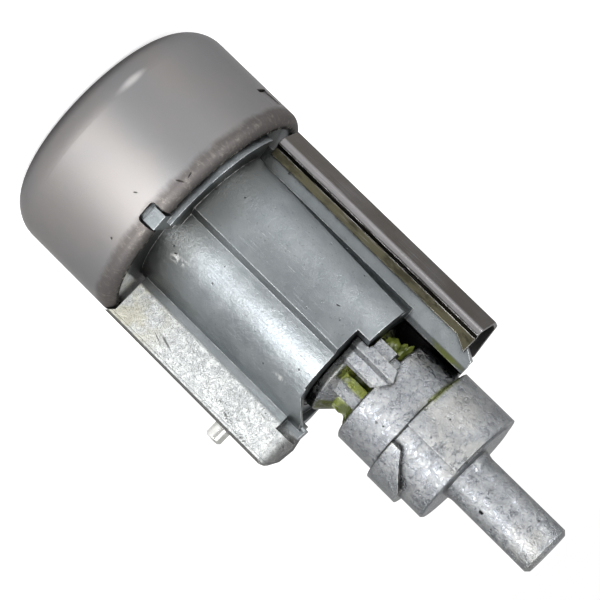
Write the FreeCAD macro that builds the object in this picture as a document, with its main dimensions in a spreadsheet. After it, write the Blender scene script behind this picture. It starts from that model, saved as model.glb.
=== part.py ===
import FreeCAD, Part
import math
import os
import Sketcher

# An ignition lock cylinder: a die-cast zinc housing under a crimped steel cap, a key plug with sprung
# wafers, and a tail that turns with the plug and drives the ignition switch behind it.
# The frame: origin at the centre of the cap's front face, +Z along the turning axis towards the tail,
# +X towards the rib that carries the release pin. Lengths are millimetres, angles are degrees.
# Angles round the axis start at -Y and grow towards +X.

doc = FreeCAD.newDocument("IgnitionLockCylinder")

sizes = {
    # cap of pressed steel sheet
    "capRadius": 18.0, "capLength": 20.0, "capSheet": 0.55, "faceFlat": 1.7,
    "crimpRadius": 1.4, "crimpLap": 1.9, "faceHole": 10.6, "faceLip": 2.0, "faceLipRadius": 0.9,
    "notchAngle": 15.0, "notchWidth": 3.1, "notchDepth": 2.45, "notchCorner": 0.6, "notchCount": 2,
    "windowAngle": -73.0, "windowFront": 14.2, "windowRear": 17.3, "windowWidth": 3.0,
    "tabPress": 0.25,
    # housing
    "capGap": 0.15, "barrelRadius": 11.4, "barrelRear": 47.0, "boreRadius": 8.5,
    "panelRise": 1.1, "stepFoot": 4.7, "stepTop": 0.5, "panelEdgeFront": -57.5,
    "panelEdgeRear": -47.5, "stopAngle": -16.0, "stopFar": 238.0, "stopRear": 49.1,
    "ledgeInset": 2.6, "ledgeRear": 20.8, "ledgeStart": 14.5, "ledgeEnd": -60.0,
    "toothWidth": 2.4, "toothInset": 0.3, "headPocketFoot": 0.37, "headPocketTop": 0.685,
    "headPocketRear": 14.0, "headPocketAngle": 44.0, "headPocketCount": 6,
    "waferGrooveWidth": 6.4, "waferGrooveRadius": 9.7,
    "waferGrooveFront": 9.0, "waferGrooveRear": 40.0,
    "riseStart": 36.0,
    # rib with the release pin
    "ribHalf": 2.7, "ribOut": 18.1, "ribFront": 20.4, "ribFlatRear": 47.3, "ribRear": 50.1,
    "ribNoseHalf": 0.9, "ribEdge": 0.45, "pinHeight": 41.45, "pinRadius": 1.5, "pinTipRadius": 1.3,
    "pinTipChamfer": 0.3, "pinHeadRadius": 1.85, "pinHeadLength": 1.3, "pinMouth": 1.1, "pinProud": 2.2,
    "pinFit": 0.05,
    "pinSpringLength": 4.0, "pinSpringWire": 0.4,
    # block and arm under the side cover
    "armHalf": 4.6, "armInner": 8.75, "armOuter": 12.1, "armBevel": 0.9, "armRear": 59.4,
    "armTip": 10.6, "guideStart": -150.0, "guideEnd": -100.0, "guideRear": 54.0,
    "blockOuter": 12.6, "blockFar": 6.05, "keelHalf": 1.5, "keelRear": 50.0,
    # side cover of folded steel strip
    "coverSheet": 0.5, "coverBack": 16.75, "coverBackHalf": 2.2, "coverFold": 14.6,
    "coverFoldHalf": 6.05, "coverStep": 13.65, "coverStepFoot": 13.15, "coverFoot": 12.0,
    "coverFootTip": 10.9, "coverTipLength": 2.2, "coverFlange": 12.0,
    "coverFlangeHalf": 7.6, "coverFront": 21.2, "coverRear": 57.7, "coverBend": 0.4, "coverFit": 0.03,
    # key plug
    "plugFit": 0.05, "plugFront": 1.3, "plugRear": 46.9, "plugHeadRadius": 10.2,
    "plugHeadRear": 4.7, "plugHeadFit": 0.1, "spigotRadius": 4.6, "spigotRear": 53.0,
    "keySlotWidth": 2.8, "keySlotHeight": 9.0, "keySlotRear": 42.0,
    "plateRadius": 10.1, "plateFront": 0.75,
    # shutter behind the key slot
    "shutterPinX": 2.25, "shutterPinZ": 2.5, "shutterPinRadius": 0.4, "shutterPinHalf": 5.6,
    "shutterFit": 0.04, "shutterKnuckle": 0.68, "shutterKnuckleHalf": 2.8, "shutterSheet": 0.4,
    "shutterHalfHeight": 4.8, "shutterReach": 4.1, "shutterRoomHalf": 5.1, "shutterRoomRear": 7.1,
    "shutterWire": 0.2,
    # wafers
    "waferCount": 8, "waferFirst": 12.0, "waferPitch": 3.4, "waferThickness": 1.0,
    "waferFit": 0.06, "waferHalf": 2.8, "waferInset": 0.1, "waferTravel": 0.7,
    "waferWindowHalf": 1.65, "waferWindowHeight": 9.6, "waferEar": 1.7, "waferEarRoot": 0.6,
    "waferEarDepth": 1.1, "waferSpringLength": 4.0, "waferSpringRadius": 0.6, "waferSpringWire": 0.25,
    # lock cam behind the plug
    "camFront": 47.15, "camCollar": 8.05, "neckRadius": 5.6, "camDrumFront": 53.0,
    "camDrumRear": 59.55, "camDrumRadius": 8.3, "lugTop": 10.0, "lugSide": 3.2,
    "lugFit": 0.1, "crossPinRadius": 1.0,
    "crossPinHeight": 51.3, "bladeHalf": 1.5, "bladeHalfWidth": 3.6, "bladeFront": 48.9,
    "bladeFit": 0.06,
    # tail piece
    "tailFront": 59.6, "tailDrumRear": 68.45, "tailDrumRadius": 8.25, "tailRaised": 9.3,
    "raisedStart": -175.5, "raisedEnd": 4.5, "tailCamEnd": 115.0, "tailCamStart": 24.0,
    "tailCamRear": 64.4, "shaftRadius": 3.75, "shaftRear": 83.2, "shaftChamfer": 0.5,
    "edgeBreak": 0.25,
}

sheet = doc.addObject("Spreadsheet::Sheet", "Sizes")
for row, (alias, value) in enumerate(sizes.items(), start=1):
    sheet.set("A%d" % row, alias)
    sheet.set("B%d" % row, str(value))
    sheet.setAlias("B%d" % row, alias)
doc.recompute()


class Size:
    # A number together with the sheet formula that gives it, so that both stay in step.
    def __init__(self, value, text):
        self.value = value
        self.text = text

    def __add__(self, other):
        other = asSize(other)
        return Size(self.value + other.value, "(%s + %s)" % (self.text, other.text))

    def __sub__(self, other):
        other = asSize(other)
        return Size(self.value - other.value, "(%s - %s)" % (self.text, other.text))

    def __mul__(self, other):
        other = asSize(other)
        return Size(self.value * other.value, "(%s * %s)" % (self.text, other.text))

    def __truediv__(self, other):
        other = asSize(other)
        return Size(self.value / other.value, "(%s / %s)" % (self.text, other.text))

    def __neg__(self):
        return Size(-self.value, "(0 - %s)" % self.text)


def asSize(number):
    return number if isinstance(number, Size) else Size(float(number), repr(float(number)))


def root(area):
    return Size(math.sqrt(area.value), "sqrt(%s)" % area.text)


def sine(angle):
    return Size(math.sin(math.radians(angle.value)), "sin(%s * 1 deg)" % angle.text)


def cosine(angle):
    return Size(math.cos(math.radians(angle.value)), "cos(%s * 1 deg)" % angle.text)


class Sheet:
    def __getattr__(self, alias):
        return Size(float(sizes[alias]), "Sizes." + alias)


s = Sheet()
flat = {"XY": "XY_Plane", "XZ": "XZ_Plane", "YZ": "YZ_Plane"}


def bind(thing, name, size):
    size = asSize(size)
    thing.setExpression(name, size.text)


def newBody(label):
    body = doc.addObject("PartDesign::Body", label)
    body.Label = label
    return body


def originPart(body, role):
    return next(item for item in body.Origin.OriginFeatures if item.Role == role)


def newSketch(body, plane, offset=0, turn=0):
    # A sketch on an origin plane, moved along the plane's normal. A turn swings an XZ sketch about Z.
    sketch = body.newObject("Sketcher::SketchObject", body.Label + "Sketch")
    sketch.AttachmentSupport = [(originPart(body, flat[plane]), "")]
    sketch.MapMode = "FlatFace"
    offset = asSize(offset)
    turn = asSize(turn)
    spin = FreeCAD.Rotation(FreeCAD.Vector(0, 1, 0), turn.value)
    place = spin.multVec(FreeCAD.Vector(0, 0, offset.value))
    sketch.AttachmentOffset = FreeCAD.Placement(place, spin)
    bind(sketch, "AttachmentOffset.Base.x", offset * sine(turn))
    bind(sketch, "AttachmentOffset.Base.z", offset * cosine(turn))
    if turn.value:
        bind(sketch, "AttachmentOffset.Rotation.Angle", turn)
    return sketch


def arcTo(x, y, centreX, centreY, radius, clockwise=False):
    return (asSize(x), asSize(y), asSize(centreX), asSize(centreY), asSize(radius), clockwise)


def lineTo(x, y):
    return (asSize(x), asSize(y))


def drawOutline(sketch, corners, closed=True):
    # Corners are lineTo and arcTo steps. Each corner is held by its two coordinates, each arc by its radius.
    first = sketch.GeometryCount
    count = len(corners) if closed else len(corners) - 1
    ends = []
    for index in range(count):
        here = corners[index]
        there = corners[(index + 1) % len(corners)]
        start = FreeCAD.Vector(here[0].value, here[1].value, 0)
        end = FreeCAD.Vector(there[0].value, there[1].value, 0)
        if len(there) == 2:
            sketch.addGeometry(Part.LineSegment(start, end), False)
            ends.append((1, 2))
            continue
        centre = FreeCAD.Vector(there[2].value, there[3].value, 0)
        circle = Part.Circle(centre, FreeCAD.Vector(0, 0, 1), there[4].value)
        low, high = (end, start) if there[5] else (start, end)
        lowAngle = math.atan2(low.y - centre.y, low.x - centre.x)
        highAngle = math.atan2(high.y - centre.y, high.x - centre.x)
        if highAngle <= lowAngle:
            highAngle += 2 * math.pi
        sketch.addGeometry(Part.ArcOfCircle(circle, lowAngle, highAngle), False)
        ends.append((2, 1) if there[5] else (1, 2))
    for index in range(count):
        geometry = first + index
        follower = (index + 1) % count
        if closed or index + 1 < count:
            join = (geometry, ends[index][1], first + follower, ends[follower][0])
            sketch.addConstraint(Sketcher.Constraint("Coincident", *join))
        here = corners[index]
        holdPoint(sketch, geometry, ends[index][0], here)
        there = corners[(index + 1) % len(corners)]
        if len(there) > 2:
            number = sketch.addConstraint(Sketcher.Constraint("Radius", geometry, there[4].value))
            sketch.setExpression("Constraints[%d]" % number, there[4].text)
    if not closed:
        holdPoint(sketch, first + count - 1, ends[count - 1][1], corners[-1])


def holdPoint(sketch, geometry, end, corner):
    for kind, size in (("DistanceX", corner[0]), ("DistanceY", corner[1])):
        rule = Sketcher.Constraint(kind, -1, 1, geometry, end, size.value)
        number = sketch.addConstraint(rule)
        sketch.setExpression("Constraints[%d]" % number, size.text)


def drawCircle(sketch, x, y, radius):
    x, y, radius = asSize(x), asSize(y), asSize(radius)
    circle = Part.Circle(FreeCAD.Vector(x.value, y.value, 0), FreeCAD.Vector(0, 0, 1), radius.value)
    geometry = sketch.addGeometry(circle, False)
    number = sketch.addConstraint(Sketcher.Constraint("Radius", geometry, radius.value))
    sketch.setExpression("Constraints[%d]" % number, radius.text)
    holdPoint(sketch, geometry, 3, (x, y))


def drawBox(sketch, lowX, lowY, highX, highY):
    corners = [(lowX, lowY), (highX, lowY), (highX, highY), (lowX, highY)]
    drawOutline(sketch, [lineTo(x, y) for x, y in corners])


def ringPoint(radius, angle):
    return asSize(radius) * sine(asSize(angle)), -(asSize(radius) * cosine(asSize(angle)))


def drawSector(sketch, inner, outer, start, end):
    # A piece of a ring between two angles round the axis, start below end.
    # Each arc is drawn in two halves, so that a wide sector stays well held.
    start, end = asSize(start), asSize(end)
    middle = (start + end) / 2
    drawOutline(sketch, [
        arcTo(*ringPoint(inner, start), 0, 0, inner, clockwise=True),
        lineTo(*ringPoint(outer, start)),
        arcTo(*ringPoint(outer, middle), 0, 0, outer),
        arcTo(*ringPoint(outer, end), 0, 0, outer),
        lineTo(*ringPoint(inner, end)),
        arcTo(*ringPoint(inner, middle), 0, 0, inner, clockwise=True)])


def pull(body, kind, sketch, length=None, flip=False, both=False):
    # A pad or pocket of one sketch. Without a length it goes through everything.
    feature = body.newObject("PartDesign::" + kind, body.Label + kind)
    feature.Profile = sketch
    if both:
        feature.SideType = "Symmetric"
    feature.Reversed = flip
    if length is None:
        feature.Type = "ThroughAll"
    else:
        length = asSize(length)
        feature.Length = length.value
        bind(feature, "Length", length)
    sketch.Visibility = False
    return feature


def pad(body, sketch, length, flip=False, both=False):
    return pull(body, "Pad", sketch, length, flip, both)


def pocket(body, sketch, length=None, flip=False, both=False):
    return pull(body, "Pocket", sketch, length, flip, both)


def turn(body, sketch, kind="Revolution"):
    feature = body.newObject("PartDesign::" + kind, body.Label + kind)
    feature.Profile = sketch
    feature.ReferenceAxis = (sketch, ["V_Axis"])
    feature.Angle = 360
    return feature


def ringPattern(body, features, count):
    pattern = body.newObject("PartDesign::PolarPattern", body.Label + "Pattern")
    pattern.Originals = features
    pattern.Axis = (originPart(body, "Z_Axis"), [""])
    pattern.Angle = 360
    pattern.Occurrences = int(asSize(count).value)
    bind(pattern, "Occurrences", count)
    body.Tip = pattern
    return pattern


def rowPattern(body, features, step, count):
    pattern = body.newObject("PartDesign::LinearPattern", body.Label + "Row")
    pattern.Originals = features
    pattern.Direction = (originPart(body, "Z_Axis"), [""])
    pattern.Mode = "Spacing"
    pattern.Offset = step.value
    bind(pattern, "Offset", step)
    pattern.Occurrences = int(count.value)
    bind(pattern, "Occurrences", count)
    body.Tip = pattern
    return pattern


def edgesWhere(shape, test):
    return ["Edge%d" % (index + 1) for index, edge in enumerate(shape.Edges) if test(edge)]


def breakEdges(body, size, test, kind="Chamfer"):
    # A chamfer or fillet on the edges of the body that the test picks out.
    doc.recompute()
    base = body.Tip
    names = edgesWhere(base.Shape, test)
    feature = body.newObject("PartDesign::" + kind, body.Label + kind)
    feature.Base = (base, names)
    bind(feature, "Size" if kind == "Chamfer" else "Radius", size)
    return feature


def coil(label, radius, wire, length, turns):
    # A helical spring wound about Z, from z = 0 up.
    body = newBody(label)
    sketch = newSketch(body, "XZ")
    half = wire / 2
    corners = [asSize(45 + 90 * corner) for corner in range(4)]
    drawOutline(sketch, [lineTo(radius + half * cosine(turn), half + half * sine(turn)) for turn in corners])
    spring = body.newObject("PartDesign::AdditiveHelix", label + "Helix")
    spring.Profile = sketch
    spring.ReferenceAxis = (sketch, ["V_Axis"])
    spring.Mode = "height-turns-angle"
    spring.Height = (length - wire).value
    bind(spring, "Height", length - wire)
    spring.Turns = turns
    return body


capInner = s.capRadius - s.capSheet
headRadius = capInner - s.capGap
headRear = s.capLength - s.capSheet
crimpCentre = s.capRadius - s.crimpRadius
crimpFoot = s.capLength - s.crimpRadius
crimpReach = s.capRadius - s.crimpLap
lipOuter = s.faceHole + s.faceLipRadius
edgeCentre = lipOuter + s.faceFlat
capEdge = s.capRadius - edgeCentre
panelRadius = s.barrelRadius + s.panelRise
plugRadius = s.boreRadius - s.plugFit


def hiddenCorner(centreX, centreY, radius, start, end, steps):
    # A round corner that nothing shows, in short straight steps. It leaves out its first point.
    turns = [start + (end - start) * step / steps for step in range(1, steps + 1)]
    return [lineTo(centreX + radius * cosine(asSize(turn)), centreY + radius * sine(asSize(turn)))
            for turn in turns]


def makeCap():
    body = newBody("cap")
    profile = newSketch(body, "XZ")
    drawOutline(profile, [
        lineTo(s.faceHole, s.faceLip),
        lineTo(s.faceHole, s.faceLipRadius),
        arcTo(lipOuter, 0, lipOuter, s.faceLipRadius, s.faceLipRadius),
        lineTo(edgeCentre, 0),
        arcTo(s.capRadius, capEdge, edgeCentre, capEdge, capEdge),
        lineTo(s.capRadius, crimpFoot),
        arcTo(crimpCentre, s.capLength, crimpCentre, crimpFoot, s.crimpRadius),
        lineTo(crimpReach, s.capLength),
        lineTo(crimpReach, headRear),
        lineTo(crimpCentre, headRear),
        *hiddenCorner(crimpCentre, crimpFoot, s.crimpRadius - s.capSheet, 90, 0, 2),
        lineTo(capInner, capEdge),
        *hiddenCorner(edgeCentre, capEdge, capEdge - s.capSheet, 0, -90, 3),
        lineTo(lipOuter, s.capSheet),
        *hiddenCorner(lipOuter, s.faceLipRadius, s.faceLipRadius - s.capSheet, 270, 180, 2),
        lineTo(s.faceHole + s.capSheet, s.faceLip)])
    turn(body, profile)
    notch = newSketch(body, "XZ", crimpReach / 2, s.notchAngle)
    half, corner = s.notchWidth / 2, s.notchCorner
    front, rear = s.capLength - s.notchDepth, s.capLength + 1
    drawOutline(notch, [
        lineTo(-half, rear), lineTo(-half, front + corner),
        arcTo(corner - half, front, corner - half, front + corner, corner), lineTo(half - corner, front),
        arcTo(half, front + corner, half - corner, front + corner, corner), lineTo(half, rear)])
    cut = pocket(body, notch, s.capRadius, flip=True)
    ringPattern(body, [cut], s.notchCount)
    # a tab lanced on three sides and pressed in at its front, so that it grips the housing
    window = newSketch(body, "XZ", crimpReach / 2, s.windowAngle)
    halfWidth = s.windowWidth / 2
    drawBox(window, -halfWidth, s.windowFront, halfWidth, s.windowRear)
    pocket(body, window, s.capRadius, flip=True)
    tab = newSketch(body, "YZ", 0, s.windowAngle)
    flush = capInner - 0.05
    pressed = flush - s.tabPress
    front, rear = s.windowFront + 0.3, s.windowRear - 0.3
    drawOutline(tab, [
        lineTo(-flush, s.windowRear + 0.2), lineTo(-flush, rear), lineTo(-pressed, front),
        lineTo(-(pressed + s.capSheet), front), lineTo(-(flush + s.capSheet - 0.1), rear),
        lineTo(-(flush + s.capSheet - 0.1), s.windowRear + 0.2)])
    pad(body, tab, s.windowWidth - 0.3, both=True)
    return body


def makeHousing():
    body = newBody("housing")
    counter = s.plugHeadRadius + s.plugHeadFit
    ringInner = s.faceHole + s.capSheet + s.capGap
    headFront = s.capSheet + s.capGap
    cornerRadius = capEdge - s.capSheet - s.capGap
    crimpCorner = s.crimpRadius - s.capSheet - s.capGap
    # head and barrel, turned in one profile
    profile = newSketch(body, "XZ")
    drawOutline(profile, [
        lineTo(0, s.faceLip + s.capGap),
        lineTo(ringInner, s.faceLip + s.capGap),
        lineTo(ringInner, headFront),
        lineTo(edgeCentre, headFront),
        *hiddenCorner(edgeCentre, capEdge, cornerRadius, -90, 0, 3),
        lineTo(headRadius, headRear - crimpCorner),
        *hiddenCorner(headRadius - crimpCorner, headRear - crimpCorner, crimpCorner, 0, 90, 2),
        lineTo(s.barrelRadius, headRear),
        lineTo(s.barrelRadius, s.stopRear),
        lineTo(0, s.stopRear)])
    turn(body, profile)
    # raised panel on the near side, its right edge drawn in towards the tail
    front = newSketch(body, "XY", s.ledgeRear - 1)
    drawPanel(front, s.panelEdgeFront)
    rear = newSketch(body, "XY", s.stopRear)
    drawPanel(rear, s.panelEdgeRear)
    loft = body.newObject("PartDesign::AdditiveLoft", "housingPanel")
    loft.Profile = front
    loft.Sections = [rear]
    # the barrel ends short of the wall that stops the lug behind it
    relief = newSketch(body, "XY", s.barrelRear)
    drawSector(relief, s.boreRadius - 2, panelRadius + 1, s.stopAngle, s.stopFar)
    pocket(body, relief, s.stopRear - s.barrelRear + 1, flip=True)
    # hollow that the cap's tab is pressed into
    catch = newSketch(body, "XZ", headRadius - s.tabPress - 0.3, s.windowAngle)
    halfWidth = s.windowWidth / 2
    drawBox(catch, -halfWidth, s.windowFront - 0.2, halfWidth, s.windowRear)
    pocket(body, catch, headRadius / 4, flip=True)
    # ledge behind the crimped lip
    ledge = newSketch(body, "XY", headRear - 1)
    drawSector(ledge, s.barrelRadius - 1, s.capRadius - s.ledgeInset, s.ledgeEnd, s.ledgeStart)
    pad(body, ledge, s.ledgeRear - headRear + 1)
    # teeth that stand in the cap's notches
    tooth = newSketch(body, "XZ", s.barrelRadius, s.notchAngle)
    drawBox(tooth, -(s.toothWidth / 2), headRear - 1.2, s.toothWidth / 2, s.capLength + s.capGap)
    teeth = pad(body, tooth, s.capRadius - s.toothInset - s.barrelRadius)
    ringPattern(body, [teeth], s.notchCount)
    # rib for the release pin
    rib = newSketch(body, "XZ")
    frontCorner = s.capRadius - 1.0
    tall = s.ribOut - s.barrelRadius
    drawOutline(rib, [
        lineTo(s.barrelRadius - 1, s.ribFront), lineTo(frontCorner, s.ribFront),
        lineTo(s.ribOut, s.ribFront - (s.ribOut - frontCorner)), lineTo(s.ribOut, s.ribRear - 1.6),
        lineTo(s.ribOut - 0.4, s.ribRear - 1.2), lineTo(s.ribOut - tall * 0.28, s.ribRear - 0.3),
        lineTo(s.ribOut - tall * 0.64, s.ribRear), lineTo(s.barrelRadius + tall * 0.1, s.ribRear - 0.4),
        lineTo(s.barrelRadius - 0.75, s.ribRear - 0.3)])
    pad(body, rib, s.ribHalf * 2, both=True)
    # its two long outer edges are taken off
    for side in (1, -1):
        edge = newSketch(body, "XY", s.ribFront - 1)
        beside, low = (s.ribHalf + 1) * side, s.ribOut - s.ribEdge
        drawOutline(edge, [
            lineTo(s.ribOut + 1, beside), lineTo(low, beside), lineTo(low, s.ribHalf * side),
            lineTo(s.ribOut, (s.ribHalf - s.ribEdge) * side),
            lineTo(s.ribOut + 1, (s.ribHalf - s.ribEdge) * side)])
        pocket(body, edge, s.ribRear - s.ribFront + 2, flip=True)
    # sloping nose at the rib's rear end, steeper on its way out, and the square pocket beside it
    for side in (1, -1):
        nose = body.newObject("PartDesign::SubtractiveLoft", "housingNose")
        inner = newSketch(body, "YZ", s.barrelRadius - 2)
        outer = newSketch(body, "YZ", s.ribOut + 1)
        for sketch, start in ((inner, s.ribFlatRear - 0.6), (outer, s.ribFlatRear + 1.0)):
            drawOutline(sketch, [
                lineTo(s.ribHalf * side, start), lineTo(s.ribNoseHalf * side, s.ribRear + 0.3),
                lineTo(s.ribNoseHalf * side, s.ribRear + 2), lineTo((s.ribHalf + 1) * side, s.ribRear + 2),
                lineTo((s.ribHalf + 1) * side, start)])
        nose.Profile = inner
        nose.Sections = [outer]
    dent = newSketch(body, "XZ", s.ribNoseHalf - 0.1)
    drawBox(dent, s.barrelRadius - 0.4, s.ribFlatRear - 0.4, s.barrelRadius + 1.8, s.ribRear + 2)
    pocket(body, dent, s.ribHalf, flip=True)
    # the barrel's rear edge climbs to the rib, less so on the far side
    rise = newSketch(body, "XY", s.barrelRear - 1)
    lugSweep = root(s.lugTop * s.lugTop + s.lugSide * s.lugSide)
    drawSector(rise, lugSweep + s.lugFit, s.barrelRadius, s.riseStart, 180 - s.riseStart.value)
    pad(body, rise, s.ribRear - s.barrelRear)
    top = s.ribRear + 2
    near = [lineTo(s.barrelRadius - 6.5, s.barrelRear), lineTo(s.barrelRadius - 3.6, s.barrelRear + 0.3),
            lineTo(s.barrelRadius - 0.9, s.barrelRear + 2.3), lineTo(s.barrelRadius - 0.9, top),
            lineTo(s.barrelRadius - 6.5, top)]
    far = [lineTo(s.barrelRadius - 6.5, s.barrelRear), lineTo(s.barrelRadius - 0.9, s.barrelRear + 1.2),
           lineTo(s.barrelRadius, s.barrelRear + 1.3), lineTo(s.barrelRadius, top),
           lineTo(s.barrelRadius - 6.5, top)]
    for outline, toCamera in ((near, True), (far, False)):
        ramp = newSketch(body, "XZ", s.ribHalf if toCamera else -s.ribHalf)
        drawOutline(ramp, outline)
        pocket(body, ramp, s.barrelRadius, flip=toCamera)
    # block and arm that the side cover clips over, and the keel that backs it
    block = newSketch(body, "XY", headRear - 1)
    drawBox(block, -s.blockOuter, -s.armHalf, -s.armInner, s.blockFar)
    pad(body, block, s.keelRear - headRear + 1)
    arm = newSketch(body, "XY", headRear - 1)
    bevel = s.armBevel
    drawOutline(arm, [
        lineTo(-s.armInner, -s.armHalf), lineTo(-s.armInner, s.armHalf),
        lineTo(-(s.armOuter - bevel), s.armHalf), lineTo(-s.armOuter, s.armHalf - bevel),
        lineTo(-s.armOuter, -s.armHalf)])
    pad(body, arm, s.armRear - headRear + 1)
    # the arm's rear corner slopes off, and a curved wall runs from it round the drum's far side
    tip = newSketch(body, "XZ", -s.armHalf)
    drawOutline(tip, [
        lineTo(-s.armOuter, s.armRear - 2.4), lineTo(-s.armTip, s.armRear), lineTo(-s.armTip, s.armRear + 1),
        lineTo(-(s.armOuter + 1), s.armRear + 1), lineTo(-(s.armOuter + 1), s.armRear - 2.4)])
    pocket(body, tip, s.armHalf * 2, flip=True)
    guide = newSketch(body, "XY", s.barrelRear - 1)
    drawSector(guide, s.armInner, s.barrelRadius, s.guideStart, s.guideEnd)
    pad(body, guide, s.armRear - s.barrelRear)
    fall = newSketch(body, "YZ", 0)
    drawOutline(fall, [
        lineTo(s.armHalf, s.armRear - 0.6), lineTo(s.barrelRadius + 1, s.guideRear),
        lineTo(s.barrelRadius + 1, s.armRear + 1), lineTo(s.armHalf, s.armRear + 1)])
    pocket(body, fall, s.barrelRadius)
    slope = newSketch(body, "YZ", -(s.armInner - 1))
    drawOutline(slope, [
        lineTo(-s.armHalf, s.armRear), lineTo(s.armHalf, s.armRear - 1.0),
        lineTo(s.armHalf, s.armRear + 1), lineTo(-s.armHalf, s.armRear + 1)])
    pocket(body, slope, s.armOuter)
    keel = newSketch(body, "XY", s.coverFront)
    keelOut = s.coverBack - s.coverSheet
    drawBox(keel, -keelOut, -s.keelHalf, -(s.blockOuter - 0.5), s.keelHalf)
    pad(body, keel, s.keelRear - s.coverFront)
    # bore, counterbore for the plug's head, and the grooves that the wafers lock into
    bore = newSketch(body, "XY")
    drawCircle(bore, 0, 0, s.boreRadius)
    pocket(body, bore, s.armRear, flip=True)
    headSeat = newSketch(body, "XY")
    drawCircle(headSeat, 0, 0, counter)
    pocket(body, headSeat, s.plugHeadRear + s.plugFit, flip=True)
    groove = newSketch(body, "XY", s.waferGrooveFront)
    half = s.waferGrooveWidth / 2
    drawBox(groove, -half, -s.waferGrooveRadius, half, s.waferGrooveRadius)
    pocket(body, groove, s.waferGrooveRear - s.waferGrooveFront, flip=True)
    # cast pockets that keep the head's wall even, under the cap
    hollow = newSketch(body, "XY")
    start = s.notchAngle - s.headPocketAngle / 2
    wall = headRadius - counter
    drawSector(hollow, counter + wall * s.headPocketFoot, counter + wall * s.headPocketTop,
               start, start + s.headPocketAngle)
    cut = pocket(body, hollow, s.headPocketRear, flip=True)
    ringPattern(body, [cut], s.headPocketCount)
    # stepped hole of the release pin
    chamber = newSketch(body, "YZ", s.ribOut - s.pinMouth)
    drawCircle(chamber, 0, s.pinHeight, s.pinHeadRadius + s.pinFit)
    pocket(body, chamber, pinChamber())
    mouth = newSketch(body, "YZ", s.ribOut)
    drawCircle(mouth, 0, s.pinHeight, s.pinRadius + s.pinFit)
    pocket(body, mouth, s.pinMouth + 0.5)
    return body


def drawPanel(sketch, edge):
    inner = s.barrelRadius - 1
    foot = ringPoint(s.barrelRadius, s.stepFoot)
    top = ringPoint(panelRadius, s.stepTop)
    innerStart, outerStart = ringPoint(inner, edge), ringPoint(panelRadius, edge)
    innerEnd = ringPoint(inner, s.stepFoot)
    drawOutline(sketch, [
        arcTo(*innerStart, 0, 0, inner, clockwise=True), lineTo(*outerStart),
        arcTo(*top, 0, 0, panelRadius), lineTo(*foot), lineTo(*innerEnd)])


def pinChamber():
    return s.pinHeadLength + s.pinSpringLength


def makeReleasePin():
    body = newBody("release_pin")
    headBack = s.ribOut - s.pinMouth - s.pinHeadLength
    profile = newSketch(body, "XZ")
    length = s.pinMouth + s.pinProud + s.pinHeadLength
    collar = s.pinHeadLength + s.pinMouth + s.pinFit
    drawOutline(profile, [
        lineTo(0, 0), lineTo(s.pinHeadRadius, 0), lineTo(s.pinHeadRadius, s.pinHeadLength),
        lineTo(s.pinRadius, s.pinHeadLength), lineTo(s.pinRadius, collar),
        lineTo(s.pinTipRadius, collar), lineTo(s.pinTipRadius, length - s.pinTipChamfer),
        lineTo(s.pinTipRadius - s.pinTipChamfer, length), lineTo(0, length)])
    turn(body, profile)
    placeAlong(body, "X", headBack, s.pinHeight)
    return body


def placeAlong(body, direction, along, height):
    # Turns a piece made along Z to lie along X or Y, and moves it to its place.
    along, height = asSize(along), asSize(height)
    if direction == "X":
        body.Placement = FreeCAD.Placement(
            FreeCAD.Vector(along.value, 0, height.value),
            FreeCAD.Rotation(FreeCAD.Vector(0, 1, 0), 90))
        bind(body, "Placement.Base.x", along)
    else:
        body.Placement = FreeCAD.Placement(
            FreeCAD.Vector(0, along.value, height.value),
            FreeCAD.Rotation(FreeCAD.Vector(1, 0, 0), -90))
        bind(body, "Placement.Base.y", along)
    bind(body, "Placement.Base.z", height)


def makeReleaseSpring():
    radius = s.pinHeadRadius - s.pinSpringWire / 2 - 0.1
    body = coil("release_pin_spring", radius, s.pinSpringWire, s.pinSpringLength, 4)
    placeAlong(body, "X", s.ribOut - s.pinMouth - s.pinHeadLength - s.pinSpringLength, s.pinHeight)
    return body


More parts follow.
